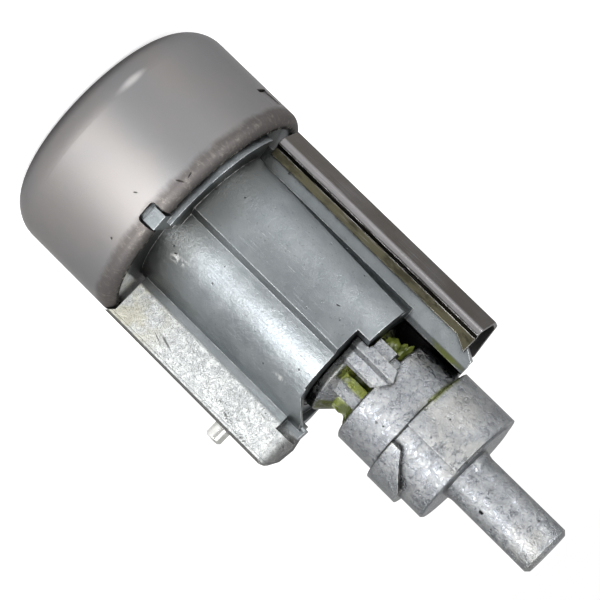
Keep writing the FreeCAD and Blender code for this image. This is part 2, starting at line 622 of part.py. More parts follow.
def makeSideCover():
    # One strip of sheet: a back, a near wall with a foot on the arm, and a far flange.
    body = newBody("side_cover")
    sheet, half = s.coverSheet, s.armHalf + s.coverFit
    strip = newSketch(body, "XY", s.coverFront)
    drawOutline(strip, [
        lineTo(-s.coverFootTip, -(half + sheet)), lineTo(-s.coverStepFoot, -(half + sheet)),
        lineTo(-s.coverStep, -s.coverFoldHalf), lineTo(-s.coverFold, -s.coverFoldHalf),
        lineTo(-s.coverBack, -s.coverBackHalf), lineTo(-s.coverBack, s.coverBackHalf),
        lineTo(-s.coverFlange, s.coverFlangeHalf),
        lineTo(-(s.coverFlange - sheet * 0.75), s.coverFlangeHalf - sheet * 0.66),
        lineTo(-(s.coverBack - sheet), s.coverBackHalf - sheet * 0.34),
        lineTo(-(s.coverBack - sheet), -(s.coverBackHalf - sheet * 0.3)),
        lineTo(-(s.coverFold - sheet * 0.55), -(s.coverFoldHalf - sheet)),
        lineTo(-(s.coverStep + sheet * 0.6), -(s.coverFoldHalf - sheet)),
        lineTo(-(s.coverStepFoot + sheet * 0.6), -half), lineTo(-s.coverFootTip, -half)])
    pad(body, strip, s.coverRear - s.coverFront)
    # the foot is trimmed to a straight edge, which runs out to a tip at the rear
    trim = newSketch(body, "XZ", half - sheet)
    drawOutline(trim, [
        lineTo(-s.coverFoot, s.coverFront - 0.1), lineTo(-s.coverFoot, s.coverRear - s.coverTipLength),
        lineTo(-s.coverFootTip, s.coverRear), lineTo(1 - s.coverFootTip.value, s.coverRear),
        lineTo(1 - s.coverFootTip.value, s.coverFront - 0.1)])
    pocket(body, trim, s.coverFoldHalf, flip=True)
    outside = [(-s.coverFold.value, -s.coverFoldHalf.value), (-s.coverBack.value, -s.coverBackHalf.value),
               (-s.coverBack.value, s.coverBackHalf.value)]
    breakEdges(body, s.coverBend + s.coverSheet, lambda edge: isLongEdgeAt(edge, outside), "Fillet")
    inside = [(sheet.value - s.coverBack.value, sheet.value * 0.3 - s.coverBackHalf.value),
              (sheet.value - s.coverBack.value, s.coverBackHalf.value - sheet.value * 0.34)]
    breakEdges(body, s.coverBend, lambda edge: isLongEdgeAt(edge, inside), "Fillet")
    return body


def isLongEdgeAt(edge, places):
    # An edge that runs along Z through one of the given places.
    box = edge.BoundBox
    if box.ZLength < 20 or box.XLength > 0.1 or box.YLength > 0.1:
        return False
    return any(abs(box.XMin - x) < 0.05 and abs(box.YMin - y) < 0.05 for x, y in places)


def makePlug():
    body = newBody("key_plug")
    profile = newSketch(body, "XZ")
    drawOutline(profile, [
        lineTo(0, s.plugFront), lineTo(s.plugHeadRadius, s.plugFront),
        lineTo(s.plugHeadRadius, s.plugHeadRear), lineTo(plugRadius, s.plugHeadRear),
        lineTo(plugRadius, s.plugRear), lineTo(s.spigotRadius, s.plugRear),
        lineTo(s.spigotRadius, s.spigotRear), lineTo(0, s.spigotRear)])
    turn(body, profile)
    slot = newSketch(body, "XY")
    half, rise = s.keySlotWidth / 2, s.keySlotHeight / 2
    drawBox(slot, -half, -rise, half, rise)
    pocket(body, slot, s.keySlotRear, flip=True)
    room = newSketch(body, "XY")
    roomLeft = s.shutterPinX + s.shutterKnuckle + 0.15
    roomRight = s.shutterReach - s.shutterPinX + 0.5
    drawBox(room, -roomLeft, -s.shutterRoomHalf, roomRight, s.shutterRoomHalf)
    pocket(body, room, s.shutterRoomRear, flip=True)
    pinHole = newSketch(body, "XZ")
    drawCircle(pinHole, -s.shutterPinX, s.shutterPinZ, s.shutterPinRadius + s.shutterFit / 2)
    pocket(body, pinHole, s.shutterPinHalf * 2, both=True)
    # slots for the wafers, sprung up and down in turn
    slotDepth = s.waferThickness + s.waferFit * 2
    gap = s.waferHalf + s.waferFit
    rows = s.waferCount / 2
    for side, first in ((1, s.waferFirst), (-1, s.waferFirst + s.waferPitch)):
        across = newSketch(body, "XY", first - s.waferFit)
        drawBox(across, -gap, -s.boreRadius, gap, s.boreRadius)
        through = pocket(body, across, slotDepth, flip=True)
        pocketDepth = (s.waferSpringRadius + s.waferSpringWire / 2 + s.waferFit) * 2
        start = first + s.waferThickness / 2 - pocketDepth / 2
        ear = newSketch(body, "XY", start)
        springFoot = s.waferEarRoot - s.waferSpringLength
        reach = gap + s.waferEar
        top = s.waferEarRoot + s.waferEarDepth + s.waferFit
        if side > 0:
            drawBox(ear, gap - 0.2, springFoot, reach, top)
        else:
            drawBox(ear, -reach, -top, -(gap - 0.2), -springFoot)
        side = pocket(body, ear, pocketDepth, flip=True)
        rowPattern(body, [through, side], s.waferPitch * 2, rows)
    # cross hole and the slot that takes the tail's blade
    blade = newSketch(body, "XY", s.bladeFront - s.bladeFit)
    half = s.bladeHalf + s.bladeFit
    drawBox(blade, -half, -s.spigotRadius, half, s.spigotRadius)
    pocket(body, blade, s.spigotRear - s.bladeFront + 1, flip=True)
    crossHole(body)
    return body


def crossHole(body):
    hole = newSketch(body, "YZ")
    drawCircle(hole, 0, s.crossPinHeight, s.crossPinRadius + s.shutterFit / 2)
    pocket(body, hole, s.camCollar * 2, both=True)


def makePlate():
    body = newBody("plug_face")
    plate = newSketch(body, "XY", s.plateFront)
    drawCircle(plate, 0, 0, s.plateRadius)
    half, rise = s.keySlotWidth / 2 + 0.05, s.keySlotHeight / 2 + 0.1
    drawBox(plate, -half, -rise, half, rise)
    pad(body, plate, s.plugFront - s.plateFront)
    breakEdges(body, s.edgeBreak, lambda edge: edge.BoundBox.ZMax < s.plateFront.value + 0.01)
    return body


def makeShutter():
    body = newBody("shutter")
    knuckle = newSketch(body, "XZ", -s.shutterKnuckleHalf)
    drawCircle(knuckle, -s.shutterPinX, s.shutterPinZ, s.shutterKnuckle)
    pad(body, knuckle, s.shutterKnuckleHalf * 2)
    # the flap is narrow at the knuckle, where the spring is wound on the pin
    flap = newSketch(body, "XY", s.shutterPinZ - s.shutterKnuckle)
    hingeSide = s.shutterKnuckle / 2 - s.shutterPinX
    shoulder = s.shutterKnuckle + 0.25 - s.shutterPinX
    freeSide = s.shutterReach - s.shutterPinX
    outline = [(shoulder, -s.shutterKnuckleHalf), (shoulder, -s.shutterHalfHeight),
               (freeSide, -s.shutterHalfHeight), (freeSide, s.shutterHalfHeight),
               (shoulder, s.shutterHalfHeight), (shoulder, s.shutterKnuckleHalf),
               (hingeSide, s.shutterKnuckleHalf), (hingeSide, -s.shutterKnuckleHalf)]
    drawOutline(flap, [lineTo(x, y) for x, y in outline])
    pad(body, flap, s.shutterSheet)
    hole = newSketch(body, "XZ")
    drawCircle(hole, -s.shutterPinX, s.shutterPinZ, s.shutterPinRadius + s.shutterFit)
    pocket(body, hole, s.shutterHalfHeight * 3, both=True)
    return body


def makeShutterPin():
    body = newBody("shutter_pin")
    pin = newSketch(body, "XZ", -s.shutterPinHalf)
    drawCircle(pin, -s.shutterPinX, s.shutterPinZ, s.shutterPinRadius)
    pad(body, pin, s.shutterPinHalf * 2)
    return body


def makeShutterSpring():
    radius = s.shutterPinRadius + s.shutterWire / 2 + 0.05
    length = s.shutterRoomHalf - s.shutterKnuckleHalf - 0.7
    body = coil("shutter_spring", radius, s.shutterWire, length, 3)
    placeAlong(body, "Y", s.shutterKnuckleHalf + 0.4, s.shutterPinZ)
    body.Placement.Base.x = -s.shutterPinX.value
    bind(body, "Placement.Base.x", -s.shutterPinX)
    return body


def makeWafer(number):
    # A brass plate with a window for the key and an ear for its spring.
    body = newBody("wafer_%d" % (number + 1))
    end = plugRadius - s.waferInset
    half = s.waferHalf
    corner = root(end * end - half * half)
    plate = newSketch(body, "XY")
    earTop = s.waferEarRoot + s.waferEarDepth
    drawOutline(plate, [
        lineTo(half, earTop), lineTo(half, corner), arcTo(-half, corner, 0, 0, end),
        lineTo(-half, -(corner - s.waferTravel)),
        arcTo(half, -(corner - s.waferTravel), 0, s.waferTravel, end),
        lineTo(half, s.waferEarRoot), lineTo(half + s.waferEar - 0.2, s.waferEarRoot),
        lineTo(half + s.waferEar - 0.2, earTop)])
    rise = s.waferWindowHeight / 2
    drawBox(plate, -s.waferWindowHalf, -rise, s.waferWindowHalf, rise)
    pad(body, plate, s.waferThickness)
    placeInRow(body, number, 0)
    return body


def placeInRow(body, number, extra):
    spin = 180 * (number % 2)
    height = s.waferFirst + s.waferPitch * number + extra
    body.Placement = FreeCAD.Placement(
        FreeCAD.Vector(0, 0, height.value), FreeCAD.Rotation(FreeCAD.Vector(0, 0, 1), spin))
    bind(body, "Placement.Base.z", height)


def makeWaferSpring(number):
    body = coil("wafer_spring_%d" % (number + 1), s.waferSpringRadius, s.waferSpringWire,
                s.waferSpringLength, 4)
    side = 1 - 2 * (number % 2)
    height = s.waferFirst + s.waferPitch * number + s.waferThickness / 2
    offset = (s.waferHalf + s.waferFit + s.waferEar / 2) * side
    foot = (s.waferEarRoot - s.waferSpringLength) * side
    body.Placement = FreeCAD.Placement(
        FreeCAD.Vector(offset.value, foot.value, height.value),
        FreeCAD.Rotation(FreeCAD.Vector(1, 0, 0), -90 * side))
    bind(body, "Placement.Base.x", offset)
    bind(body, "Placement.Base.y", foot)
    bind(body, "Placement.Base.z", height)
    return body


def makeCrossPin():
    body = newBody("cross_pin")
    pin = newSketch(body, "YZ")
    drawCircle(pin, 0, s.crossPinHeight, s.crossPinRadius)
    pad(body, pin, s.neckRadius * 2, both=True)
    return body


def makeLockCam():
    body = newBody("lock_cam")
    flare = s.camCollar - s.neckRadius
    profile = newSketch(body, "XZ")
    drawOutline(profile, [
        lineTo(0, s.camFront), lineTo(s.camCollar, s.camFront), lineTo(s.camCollar, s.camFront + 1.1),
        lineTo(s.neckRadius + 0.5, s.camFront + 0.6 + flare), lineTo(s.neckRadius, s.camFront + flare + 2),
        lineTo(s.neckRadius, s.camDrumFront), lineTo(s.camDrumRadius - s.edgeBreak, s.camDrumFront),
        lineTo(s.camDrumRadius, s.camDrumFront + s.edgeBreak), lineTo(s.camDrumRadius, s.camDrumRear),
        lineTo(0, s.camDrumRear)])
    turn(body, profile)
    # stop lug: an arrow-shaped bar in steps, reaching forward over the neck
    base = s.neckRadius - 0.6
    top = s.lugTop
    lug = newSketch(body, "XZ", base)
    drawOutline(lug, [
        lineTo(-s.lugSide, s.camFront + 0.15), lineTo(0.75, s.camFront + 0.15),
        lineTo(0.75, s.camDrumFront - 0.2), lineTo(-1.65, s.camDrumFront + 1.75),
        lineTo(-s.lugSide, s.camDrumFront + 1.0)])
    pad(body, lug, top - base)
    steps = newSketch(body, "XY", s.camFront)
    low = s.camDrumRadius + 0.05
    drawOutline(steps, [
        lineTo(2, -low), lineTo(0.75, -low), lineTo(0.3, -(top - 1.2)),
        lineTo(-1.05, -(top - 0.9)), lineTo(-1.75, -(top + 0.01)), lineTo(-1.75, -(top + 1)),
        lineTo(2, -(top + 1))])
    pocket(body, steps, s.camDrumFront - s.camFront + 3, flip=True)
    # its side towards the stop is cut to lie flat against it
    leftSide = s.stopAngle + 0.3
    side = newSketch(body, "XY", s.camFront)
    low, high = base + 0.3, (top + 1) / cosine(leftSide)
    drawOutline(side, [
        lineTo(*ringPoint(low, leftSide)), lineTo(*ringPoint(high, leftSide)),
        lineTo(-top / 2, -(top + 1)), lineTo(-top / 2, -(low - 1))])
    pocket(body, side, s.stopRear - s.camFront + 0.3, flip=True)
    # second lug beside it, behind the housing's stop
    second = newSketch(body, "XY", s.stopRear + 0.35)
    outer = top * 0.475
    drawOutline(second, [
        lineTo(-outer, -base), lineTo(-2.9, -base), lineTo(-2.9, -(top - 0.35)),
        lineTo(-outer, -(top - 0.9))])
    pad(body, second, s.camDrumFront - s.stopRear - 1.0)
    foot = newSketch(body, "XY", s.camDrumFront - 1)
    drawOutline(foot, [lineTo(-4.4, -base), lineTo(-2.9, -base), lineTo(-2.9, -8.6), lineTo(-4.2, -7.6)])
    pad(body, foot, 1.6)
    # driving block on the neck
    block = newSketch(body, "XY", s.camFront)
    drawOutline(block, [
        lineTo(1.4, -base + 2), lineTo(4.35, -3), lineTo(4.35, -5.4), lineTo(2.6, -6.75), lineTo(1.4, -7.0)])
    pad(body, block, s.camDrumFront - s.camFront + 0.2)
    # seat of the plug's spigot, the slot for the tail's blade and the cross hole
    seat = newSketch(body, "XY")
    drawCircle(seat, 0, 0, s.spigotRadius + s.plugFit)
    pocket(body, seat, s.spigotRear + s.plugFit, flip=True)
    slot = newSketch(body, "XY")
    half = s.bladeHalf + s.bladeFit
    drawBox(slot, -half, -(s.bladeHalfWidth + s.bladeFit), half, s.bladeHalfWidth + s.bladeFit)
    pocket(body, slot, s.camDrumRear + 1, flip=True)
    crossHole(body)
    return body


def makeTail():
    body = newBody("tail_piece")
    # the cam whose edge climbs round the drum
    cam = newSketch(body, "XY", s.tailFront)
    drawSector(cam, s.tailDrumRadius - 2, s.tailRaised, s.tailCamStart, s.tailCamEnd)
    pad(body, cam, s.tailCamRear - s.tailFront)
    ramp = newSketch(body, "XZ", s.shaftRadius)
    drawOutline(ramp, [
        lineTo(s.tailRaised - 6, s.tailFront + 0.3), lineTo(s.tailRaised - 5.5, s.tailFront + 1.7),
        lineTo(s.tailRaised - 4.3, s.tailFront + 2.5), lineTo(s.tailRaised - 1.3, s.tailCamRear + 0.1),
        lineTo(s.tailRaised - 6, s.tailCamRear + 0.1)])
    pocket(body, ramp, s.tailRaised, flip=True)
    profile = newSketch(body, "XZ")
    drawOutline(profile, [
        lineTo(0, s.tailFront), lineTo(s.tailDrumRadius, s.tailFront),
        lineTo(s.tailDrumRadius, s.tailDrumRear - s.edgeBreak),
        lineTo(s.tailDrumRadius - s.edgeBreak, s.tailDrumRear),
        lineTo(s.shaftRadius + 0.25, s.tailDrumRear), lineTo(s.shaftRadius, s.tailDrumRear + 1.2),
        lineTo(s.shaftRadius, s.shaftRear - s.shaftChamfer),
        lineTo(s.shaftRadius - s.shaftChamfer, s.shaftRear), lineTo(0, s.shaftRear)])
    turn(body, profile)
    raised = newSketch(body, "XY", s.tailFront)
    drawSector(raised, s.tailDrumRadius - 2, s.tailRaised, s.raisedStart, s.raisedEnd)
    pad(body, raised, s.tailDrumRear - s.tailFront - s.edgeBreak)
    blade = newSketch(body, "XY", s.bladeFront)
    drawBox(blade, -s.bladeHalf, -s.bladeHalfWidth, s.bladeHalf, s.bladeHalfWidth)
    pad(body, blade, s.tailFront - s.bladeFront + 0.5)
    crossHole(body)
    return body


parts = [
    makeCap(), makeHousing(), makeReleasePin(), makeReleaseSpring(), makeSideCover(), makePlug(),
    makePlate(), makeShutter(), makeShutterPin(), makeShutterSpring(), makeLockCam(), makeCrossPin(),
    makeTail()]
for number in range(int(s.waferCount.value)):
    parts.append(makeWafer(number))
    parts.append(makeWaferSpring(number))
doc.recompute()

for item in doc.Objects:
    faults = [state for state in item.State if state in ("Invalid", "Error")]
    if faults:
        raise RuntimeError("%s failed: %s" % (item.Label, faults))

os.makedirs("parts", exist_ok=True)
for part in parts:
    shape = part.Shape
    if shape.isNull() or not shape.isValid():
        raise RuntimeError("%s has no sound solid" % part.Label)
    shape.exportStep("parts/%s.step" % part.Label)
    print("%-20s %d solid, %9.2f mm3" % (part.Label, len(shape.Solids), shape.Volume))
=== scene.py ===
import math

import bmesh
import bpy
from mathutils import Matrix, Vector, noise


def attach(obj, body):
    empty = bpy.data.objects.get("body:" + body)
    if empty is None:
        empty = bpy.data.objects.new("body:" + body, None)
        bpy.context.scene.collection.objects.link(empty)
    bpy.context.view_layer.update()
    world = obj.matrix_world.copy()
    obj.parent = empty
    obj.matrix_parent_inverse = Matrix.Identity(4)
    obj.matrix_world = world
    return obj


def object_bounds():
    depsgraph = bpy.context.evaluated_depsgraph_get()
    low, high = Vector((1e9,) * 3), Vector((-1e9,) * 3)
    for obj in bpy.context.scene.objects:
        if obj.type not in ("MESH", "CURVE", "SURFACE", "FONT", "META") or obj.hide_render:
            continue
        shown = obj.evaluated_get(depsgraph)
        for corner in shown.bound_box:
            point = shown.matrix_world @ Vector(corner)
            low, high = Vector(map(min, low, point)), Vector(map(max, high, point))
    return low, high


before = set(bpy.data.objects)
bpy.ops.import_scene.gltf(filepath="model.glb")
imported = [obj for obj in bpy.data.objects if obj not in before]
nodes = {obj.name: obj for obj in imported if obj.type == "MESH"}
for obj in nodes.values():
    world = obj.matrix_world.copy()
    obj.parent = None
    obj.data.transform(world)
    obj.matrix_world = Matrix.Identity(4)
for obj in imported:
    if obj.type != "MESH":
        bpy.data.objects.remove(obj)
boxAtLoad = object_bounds()
mm = 0.001
print("frame loaded:", len(nodes), "parts")


# Short helpers for node trees

noiseMiddle = 0.5
# a colour Mix node's sockets by their places
mixSockets = {"first": 6, "second": 7, "result": 2}
displayCurve = {"toeEnd": 0.04, "toeSlope": 12.92, "offset": 0.055, "power": 2.4}


def place(tree, kind, **settings):
    node = tree.nodes.new(kind)
    for name, value in settings.items():
        setattr(node, name, value)
    return node


def feed(tree, socket, value):
    # a socket takes another node's output or a plain value
    if isinstance(value, bpy.types.NodeSocket):
        tree.links.new(value, socket)
    else:
        socket.default_value = value


def calc(tree, operation, first, second=None, clamp=False):
    node = place(tree, "ShaderNodeMath", operation=operation, use_clamp=clamp)
    feed(tree, node.inputs[0], first)
    if second is not None:
        feed(tree, node.inputs[1], second)
    return node.outputs[0]


def between(tree, value, low, high, first=0.0, last=1.0):
    # a soft step from first to last while the value goes from low to high
    node = place(tree, "ShaderNodeMapRange", interpolation_type="SMOOTHSTEP")
    ends = {"Value": value, "From Min": low, "From Max": high, "To Min": first, "To Max": last}
    for name, given in ends.items():
        feed(tree, node.inputs[name], given)
    return node.outputs["Result"]


def linear(colour):
    # colours are written as they look in a picture, and Blender's sockets take linear ones
    curve = displayCurve
    levels = []
    for level in colour:
        if level < curve["toeEnd"]:
            levels.append(level / curve["toeSlope"])
        else:
            levels.append(((level + curve["offset"]) / (1 + curve["offset"])) ** curve["power"])
    return (*levels, 1)


def mixColour(tree, share, first, second):
    node = place(tree, "ShaderNodeMix", data_type="RGBA")
    feed(tree, node.inputs["Factor"], share)
    for end, value in (("first", first), ("second", second)):
        feed(tree, node.inputs[mixSockets[end]], linear(value) if isinstance(value, tuple) else value)
    return node.outputs[mixSockets["result"]]


def scaled(tree, vector, factors):
    node = place(tree, "ShaderNodeVectorMath", operation="MULTIPLY")
    feed(tree, node.inputs[0], vector)
    feed(tree, node.inputs[1], factors)
    return node.outputs[0]


def grainOf(tree, vector, scale, detail=3.0, rough=0.55, twist=0.0):
    node = place(tree, "ShaderNodeTexNoise")
    feed(tree, node.inputs["Vector"], vector)
    feed(tree, node.inputs["Scale"], scale)
    node.inputs["Detail"].default_value = detail
    node.inputs["Roughness"].default_value = rough
    node.inputs["Distortion"].default_value = twist
    return node.outputs["Fac"]


def newGroup(name, takes, gives):
    # takes maps a socket name to its kind and start value, gives maps a name to its kind
    tree = bpy.data.node_groups.new(name, "ShaderNodeTree")
    for label, (kind, start) in takes.items():
        socket = tree.interface.new_socket(label, in_out="INPUT", socket_type="NodeSocket" + kind)
        if start is not None:
            socket.default_value = start
    for label, kind in gives.items():
        tree.interface.new_socket(label, in_out="OUTPUT", socket_type="NodeSocket" + kind)
    return tree, place(tree, "NodeGroupInput").outputs, place(tree, "NodeGroupOutput").inputs


# Shader groups for what several finishes share: their noises are detail, roughness and twist

groupLook = {
    "castSkin": {"clouds": (4.0, 0.62, 0.4), "cloudRange": (0.34, 0.66), "frost": (5.0, 0.7, 1.1),
                 "frostRange": (0.42, 0.62), "curls": (3.0, 0.6, 1.6), "lineWidth": 0.035,
                 "grain": (3.0, 0.7, 0.0)},
    "edgeWear": {"samples": 6, "bend": (0.015, 0.16), "broken": (0.36, 0.6), "detail": 4.0},
    # corners are darkened where ambient occlusion finds them: dirt and painted shade
    "cornerGrimeAndShade": {"samples": 8, "broken": (0.3, 0.62, 0.35, 1.0), "deep": (0.4, 0.86, 1.0, 0.0),
                    "detail": 4.0},
    "scratches": {"lines": (1.0, 2.0, 0.5, 0.15), "level": 0.56, "width": 0.016, "patchDetail": 2.0,
                  "patchRange": (0.46, 0.62)},
    "pits": {"softEdge": 1.8},
    "spot": {"detail": 4.0},
    "peppering": {"dots": (2.0, 0.5, 0.6), "softEdge": 0.05},
}


def makeCastSkin():
    # soft clouds, short frosty flow marks, thin curled lines and a fine grain, as on zinc from a die
    look = groupLook["castSkin"]
    tree, given, result = newGroup("castSkin", {
        "Vector": ("Vector", None), "Cloud Scale": ("Float", 240.0), "Frost Scale": ("Float", 1100.0),
        "Line Scale": ("Float", 1500.0), "Grain Scale": ("Float", 3800.0)},
        {"Clouds": "Float", "Frost": "Float", "Lines": "Float", "Grain": "Float"})
    clouds = grainOf(tree, given["Vector"], given["Cloud Scale"], *look["clouds"])
    feed(tree, result["Clouds"], between(tree, clouds, *look["cloudRange"]))
    frost = grainOf(tree, given["Vector"], given["Frost Scale"], *look["frost"])
    feed(tree, result["Frost"], between(tree, frost, *look["frostRange"]))
    curls = grainOf(tree, given["Vector"], given["Line Scale"], *look["curls"])
    ridge = calc(tree, "ABSOLUTE", calc(tree, "SUBTRACT", curls, noiseMiddle))
    feed(tree, result["Lines"], between(tree, ridge, 0.0, look["lineWidth"], 1.0, 0.0))
    feed(tree, result["Grain"], grainOf(tree, given["Vector"], given["Grain Scale"], *look["grain"]))
    return tree


def makeEdgeWear():
    # where an edge rounds off, broken up by noise, with the rounded normal itself
    look = groupLook["edgeWear"]
    tree, given, result = newGroup("edgeWear", {
        "Vector": ("Vector", None), "Width": ("Float", 0.2 * mm), "Break Scale": ("Float", 900.0),
        "Amount": ("Float", 1.0)}, {"Mask": "Float", "Normal": "Vector"})
    rounded = place(tree, "ShaderNodeBevel", samples=look["samples"])
    feed(tree, rounded.inputs["Radius"], given["Width"])
    facing = place(tree, "ShaderNodeVectorMath", operation="DOT_PRODUCT")
    feed(tree, facing.inputs[0], rounded.outputs["Normal"])
    feed(tree, facing.inputs[1], place(tree, "ShaderNodeNewGeometry").outputs["Normal"])
    bend = between(tree, calc(tree, "SUBTRACT", 1.0, facing.outputs["Value"]), *look["bend"])
    broken = grainOf(tree, given["Vector"], given["Break Scale"], look["detail"])
    worn = calc(tree, "MULTIPLY", bend, between(tree, broken, *look["broken"]))
    feed(tree, result["Mask"], calc(tree, "MULTIPLY", worn, given["Amount"], True))
    feed(tree, result["Normal"], rounded.outputs["Normal"])
    return tree


def makeCornerGrimeAndShade():
    # dirt that stays in inside corners and under ledges, together with painted shade there, both where
    # ambient occlusion finds them
    look = groupLook["cornerGrimeAndShade"]
    tree, given, result = newGroup("cornerGrimeAndShade", {
        "Vector": ("Vector", None), "Reach": ("Float", 1.2 * mm), "Break Scale": ("Float", 700.0)},
        {"Mask": "Float"})
    shade = place(tree, "ShaderNodeAmbientOcclusion", samples=look["samples"], only_local=False)
    feed(tree, shade.inputs["Distance"], given["Reach"])
    broken = grainOf(tree, given["Vector"], given["Break Scale"], look["detail"])
    deep = between(tree, shade.outputs["AO"], *look["deep"])
    feed(tree, result["Mask"], calc(tree, "MULTIPLY", deep, between(tree, broken, *look["broken"])))
    return tree


def makeScratches():
    # thin lines in one direction: the stretch is short along them and long across
    look = groupLook["scratches"]
    tree, given, result = newGroup("scratches", {
        "Vector": ("Vector", None), "Stretch": ("Vector", (3000.0, 3000.0, 60.0)),
        "Patch Scale": ("Float", 160.0), "Amount": ("Float", 1.0)}, {"Mask": "Float"})
    lines = grainOf(tree, scaled(tree, given["Vector"], given["Stretch"]), *look["lines"])
    off = calc(tree, "ABSOLUTE", calc(tree, "SUBTRACT", lines, look["level"]))
    thin = between(tree, off, 0.0, look["width"], 1.0, 0.0)
    patches = grainOf(tree, given["Vector"], given["Patch Scale"], look["patchDetail"])
    marks = calc(tree, "MULTIPLY", thin, between(tree, patches, *look["patchRange"]))
    feed(tree, result["Mask"], calc(tree, "MULTIPLY", marks, given["Amount"], True))
    return tree


def makePits():
    # small round pits, of which only some cells have one
    tree, given, result = newGroup("pits", {
        "Vector": ("Vector", None), "Scale": ("Float", 900.0), "Size": ("Float", 0.16),
        "Share": ("Float", 0.2)}, {"Mask": "Float"})
    cells = place(tree, "ShaderNodeTexVoronoi")
    feed(tree, cells.inputs["Vector"], given["Vector"])
    feed(tree, cells.inputs["Scale"], given["Scale"])
    edge = calc(tree, "MULTIPLY", given["Size"], groupLook["pits"]["softEdge"])
    hole = between(tree, cells.outputs["Distance"], given["Size"], edge, 1.0, 0.0)
    chance = place(tree, "ShaderNodeSeparateColor")
    feed(tree, chance.inputs[0], cells.outputs["Color"])
    picked = calc(tree, "LESS_THAN", chance.outputs[0], given["Share"])
    feed(tree, result["Mask"], calc(tree, "MULTIPLY", hole, picked))
    return tree


def makeSpot():
    # a soft-edged mark at one place, with a ragged outline
    tree, given, result = newGroup("spot", {
        "Vector": ("Vector", None), "Centre": ("Vector", (0, 0, 0)), "Reach": ("Vector", (mm, mm, mm)),
        "Turn": ("Float", 0.0), "Ragged": ("Float", 0.3), "Ragged Scale": ("Float", 1500.0),
        "Core": ("Float", 0.55)}, {"Mask": "Float"})
    away = place(tree, "ShaderNodeVectorMath", operation="SUBTRACT")
    feed(tree, away.inputs[0], given["Vector"])
    feed(tree, away.inputs[1], given["Centre"])
    turned = place(tree, "ShaderNodeVectorRotate", rotation_type="Y_AXIS")
    feed(tree, turned.inputs["Vector"], away.outputs[0])
    feed(tree, turned.inputs["Angle"], given["Turn"])
    share = place(tree, "ShaderNodeVectorMath", operation="DIVIDE")
    feed(tree, share.inputs[0], turned.outputs[0])
    feed(tree, share.inputs[1], given["Reach"])
    far = place(tree, "ShaderNodeVectorMath", operation="LENGTH")
    feed(tree, far.inputs[0], share.outputs[0])
    torn = grainOf(tree, given["Vector"], given["Ragged Scale"], groupLook["spot"]["detail"])
    torn = calc(tree, "MULTIPLY", calc(tree, "SUBTRACT", torn, noiseMiddle), given["Ragged"])
    edge = calc(tree, "ADD", far.outputs["Value"], torn)
    feed(tree, result["Mask"], between(tree, edge, given["Core"], 1.0, 1.0, 0.0))
    return tree


def makePeppering():
    # a crowd of fine dark dots, for the porous places of a casting
    look = groupLook["peppering"]
    tree, given, result = newGroup("peppering", {
        "Vector": ("Vector", None), "Scale": ("Float", 4200.0), "Level": ("Float", 0.56)}, {"Mask": "Float"})
    dots = grainOf(tree, given["Vector"], given["Scale"], *look["dots"])
    top = calc(tree, "ADD", given["Level"], look["softEdge"])
    feed(tree, result["Mask"], between(tree, dots, given["Level"], top))
    return tree


shared = {
    "castSkin": makeCastSkin(), "edgeWear": makeEdgeWear(), "cornerGrimeAndShade": makeCornerGrimeAndShade(),
    "scratches": makeScratches(), "pits": makePits(), "spot": makeSpot(), "peppering": makePeppering(),
}
print("shader groups made:", len(shared))

# grazing reflections on worn metal are greyer than on a clean mirror
wornMetal = {"Metallic": 1.0, "Specular Tint": (0.6, 0.6, 0.6, 1)}


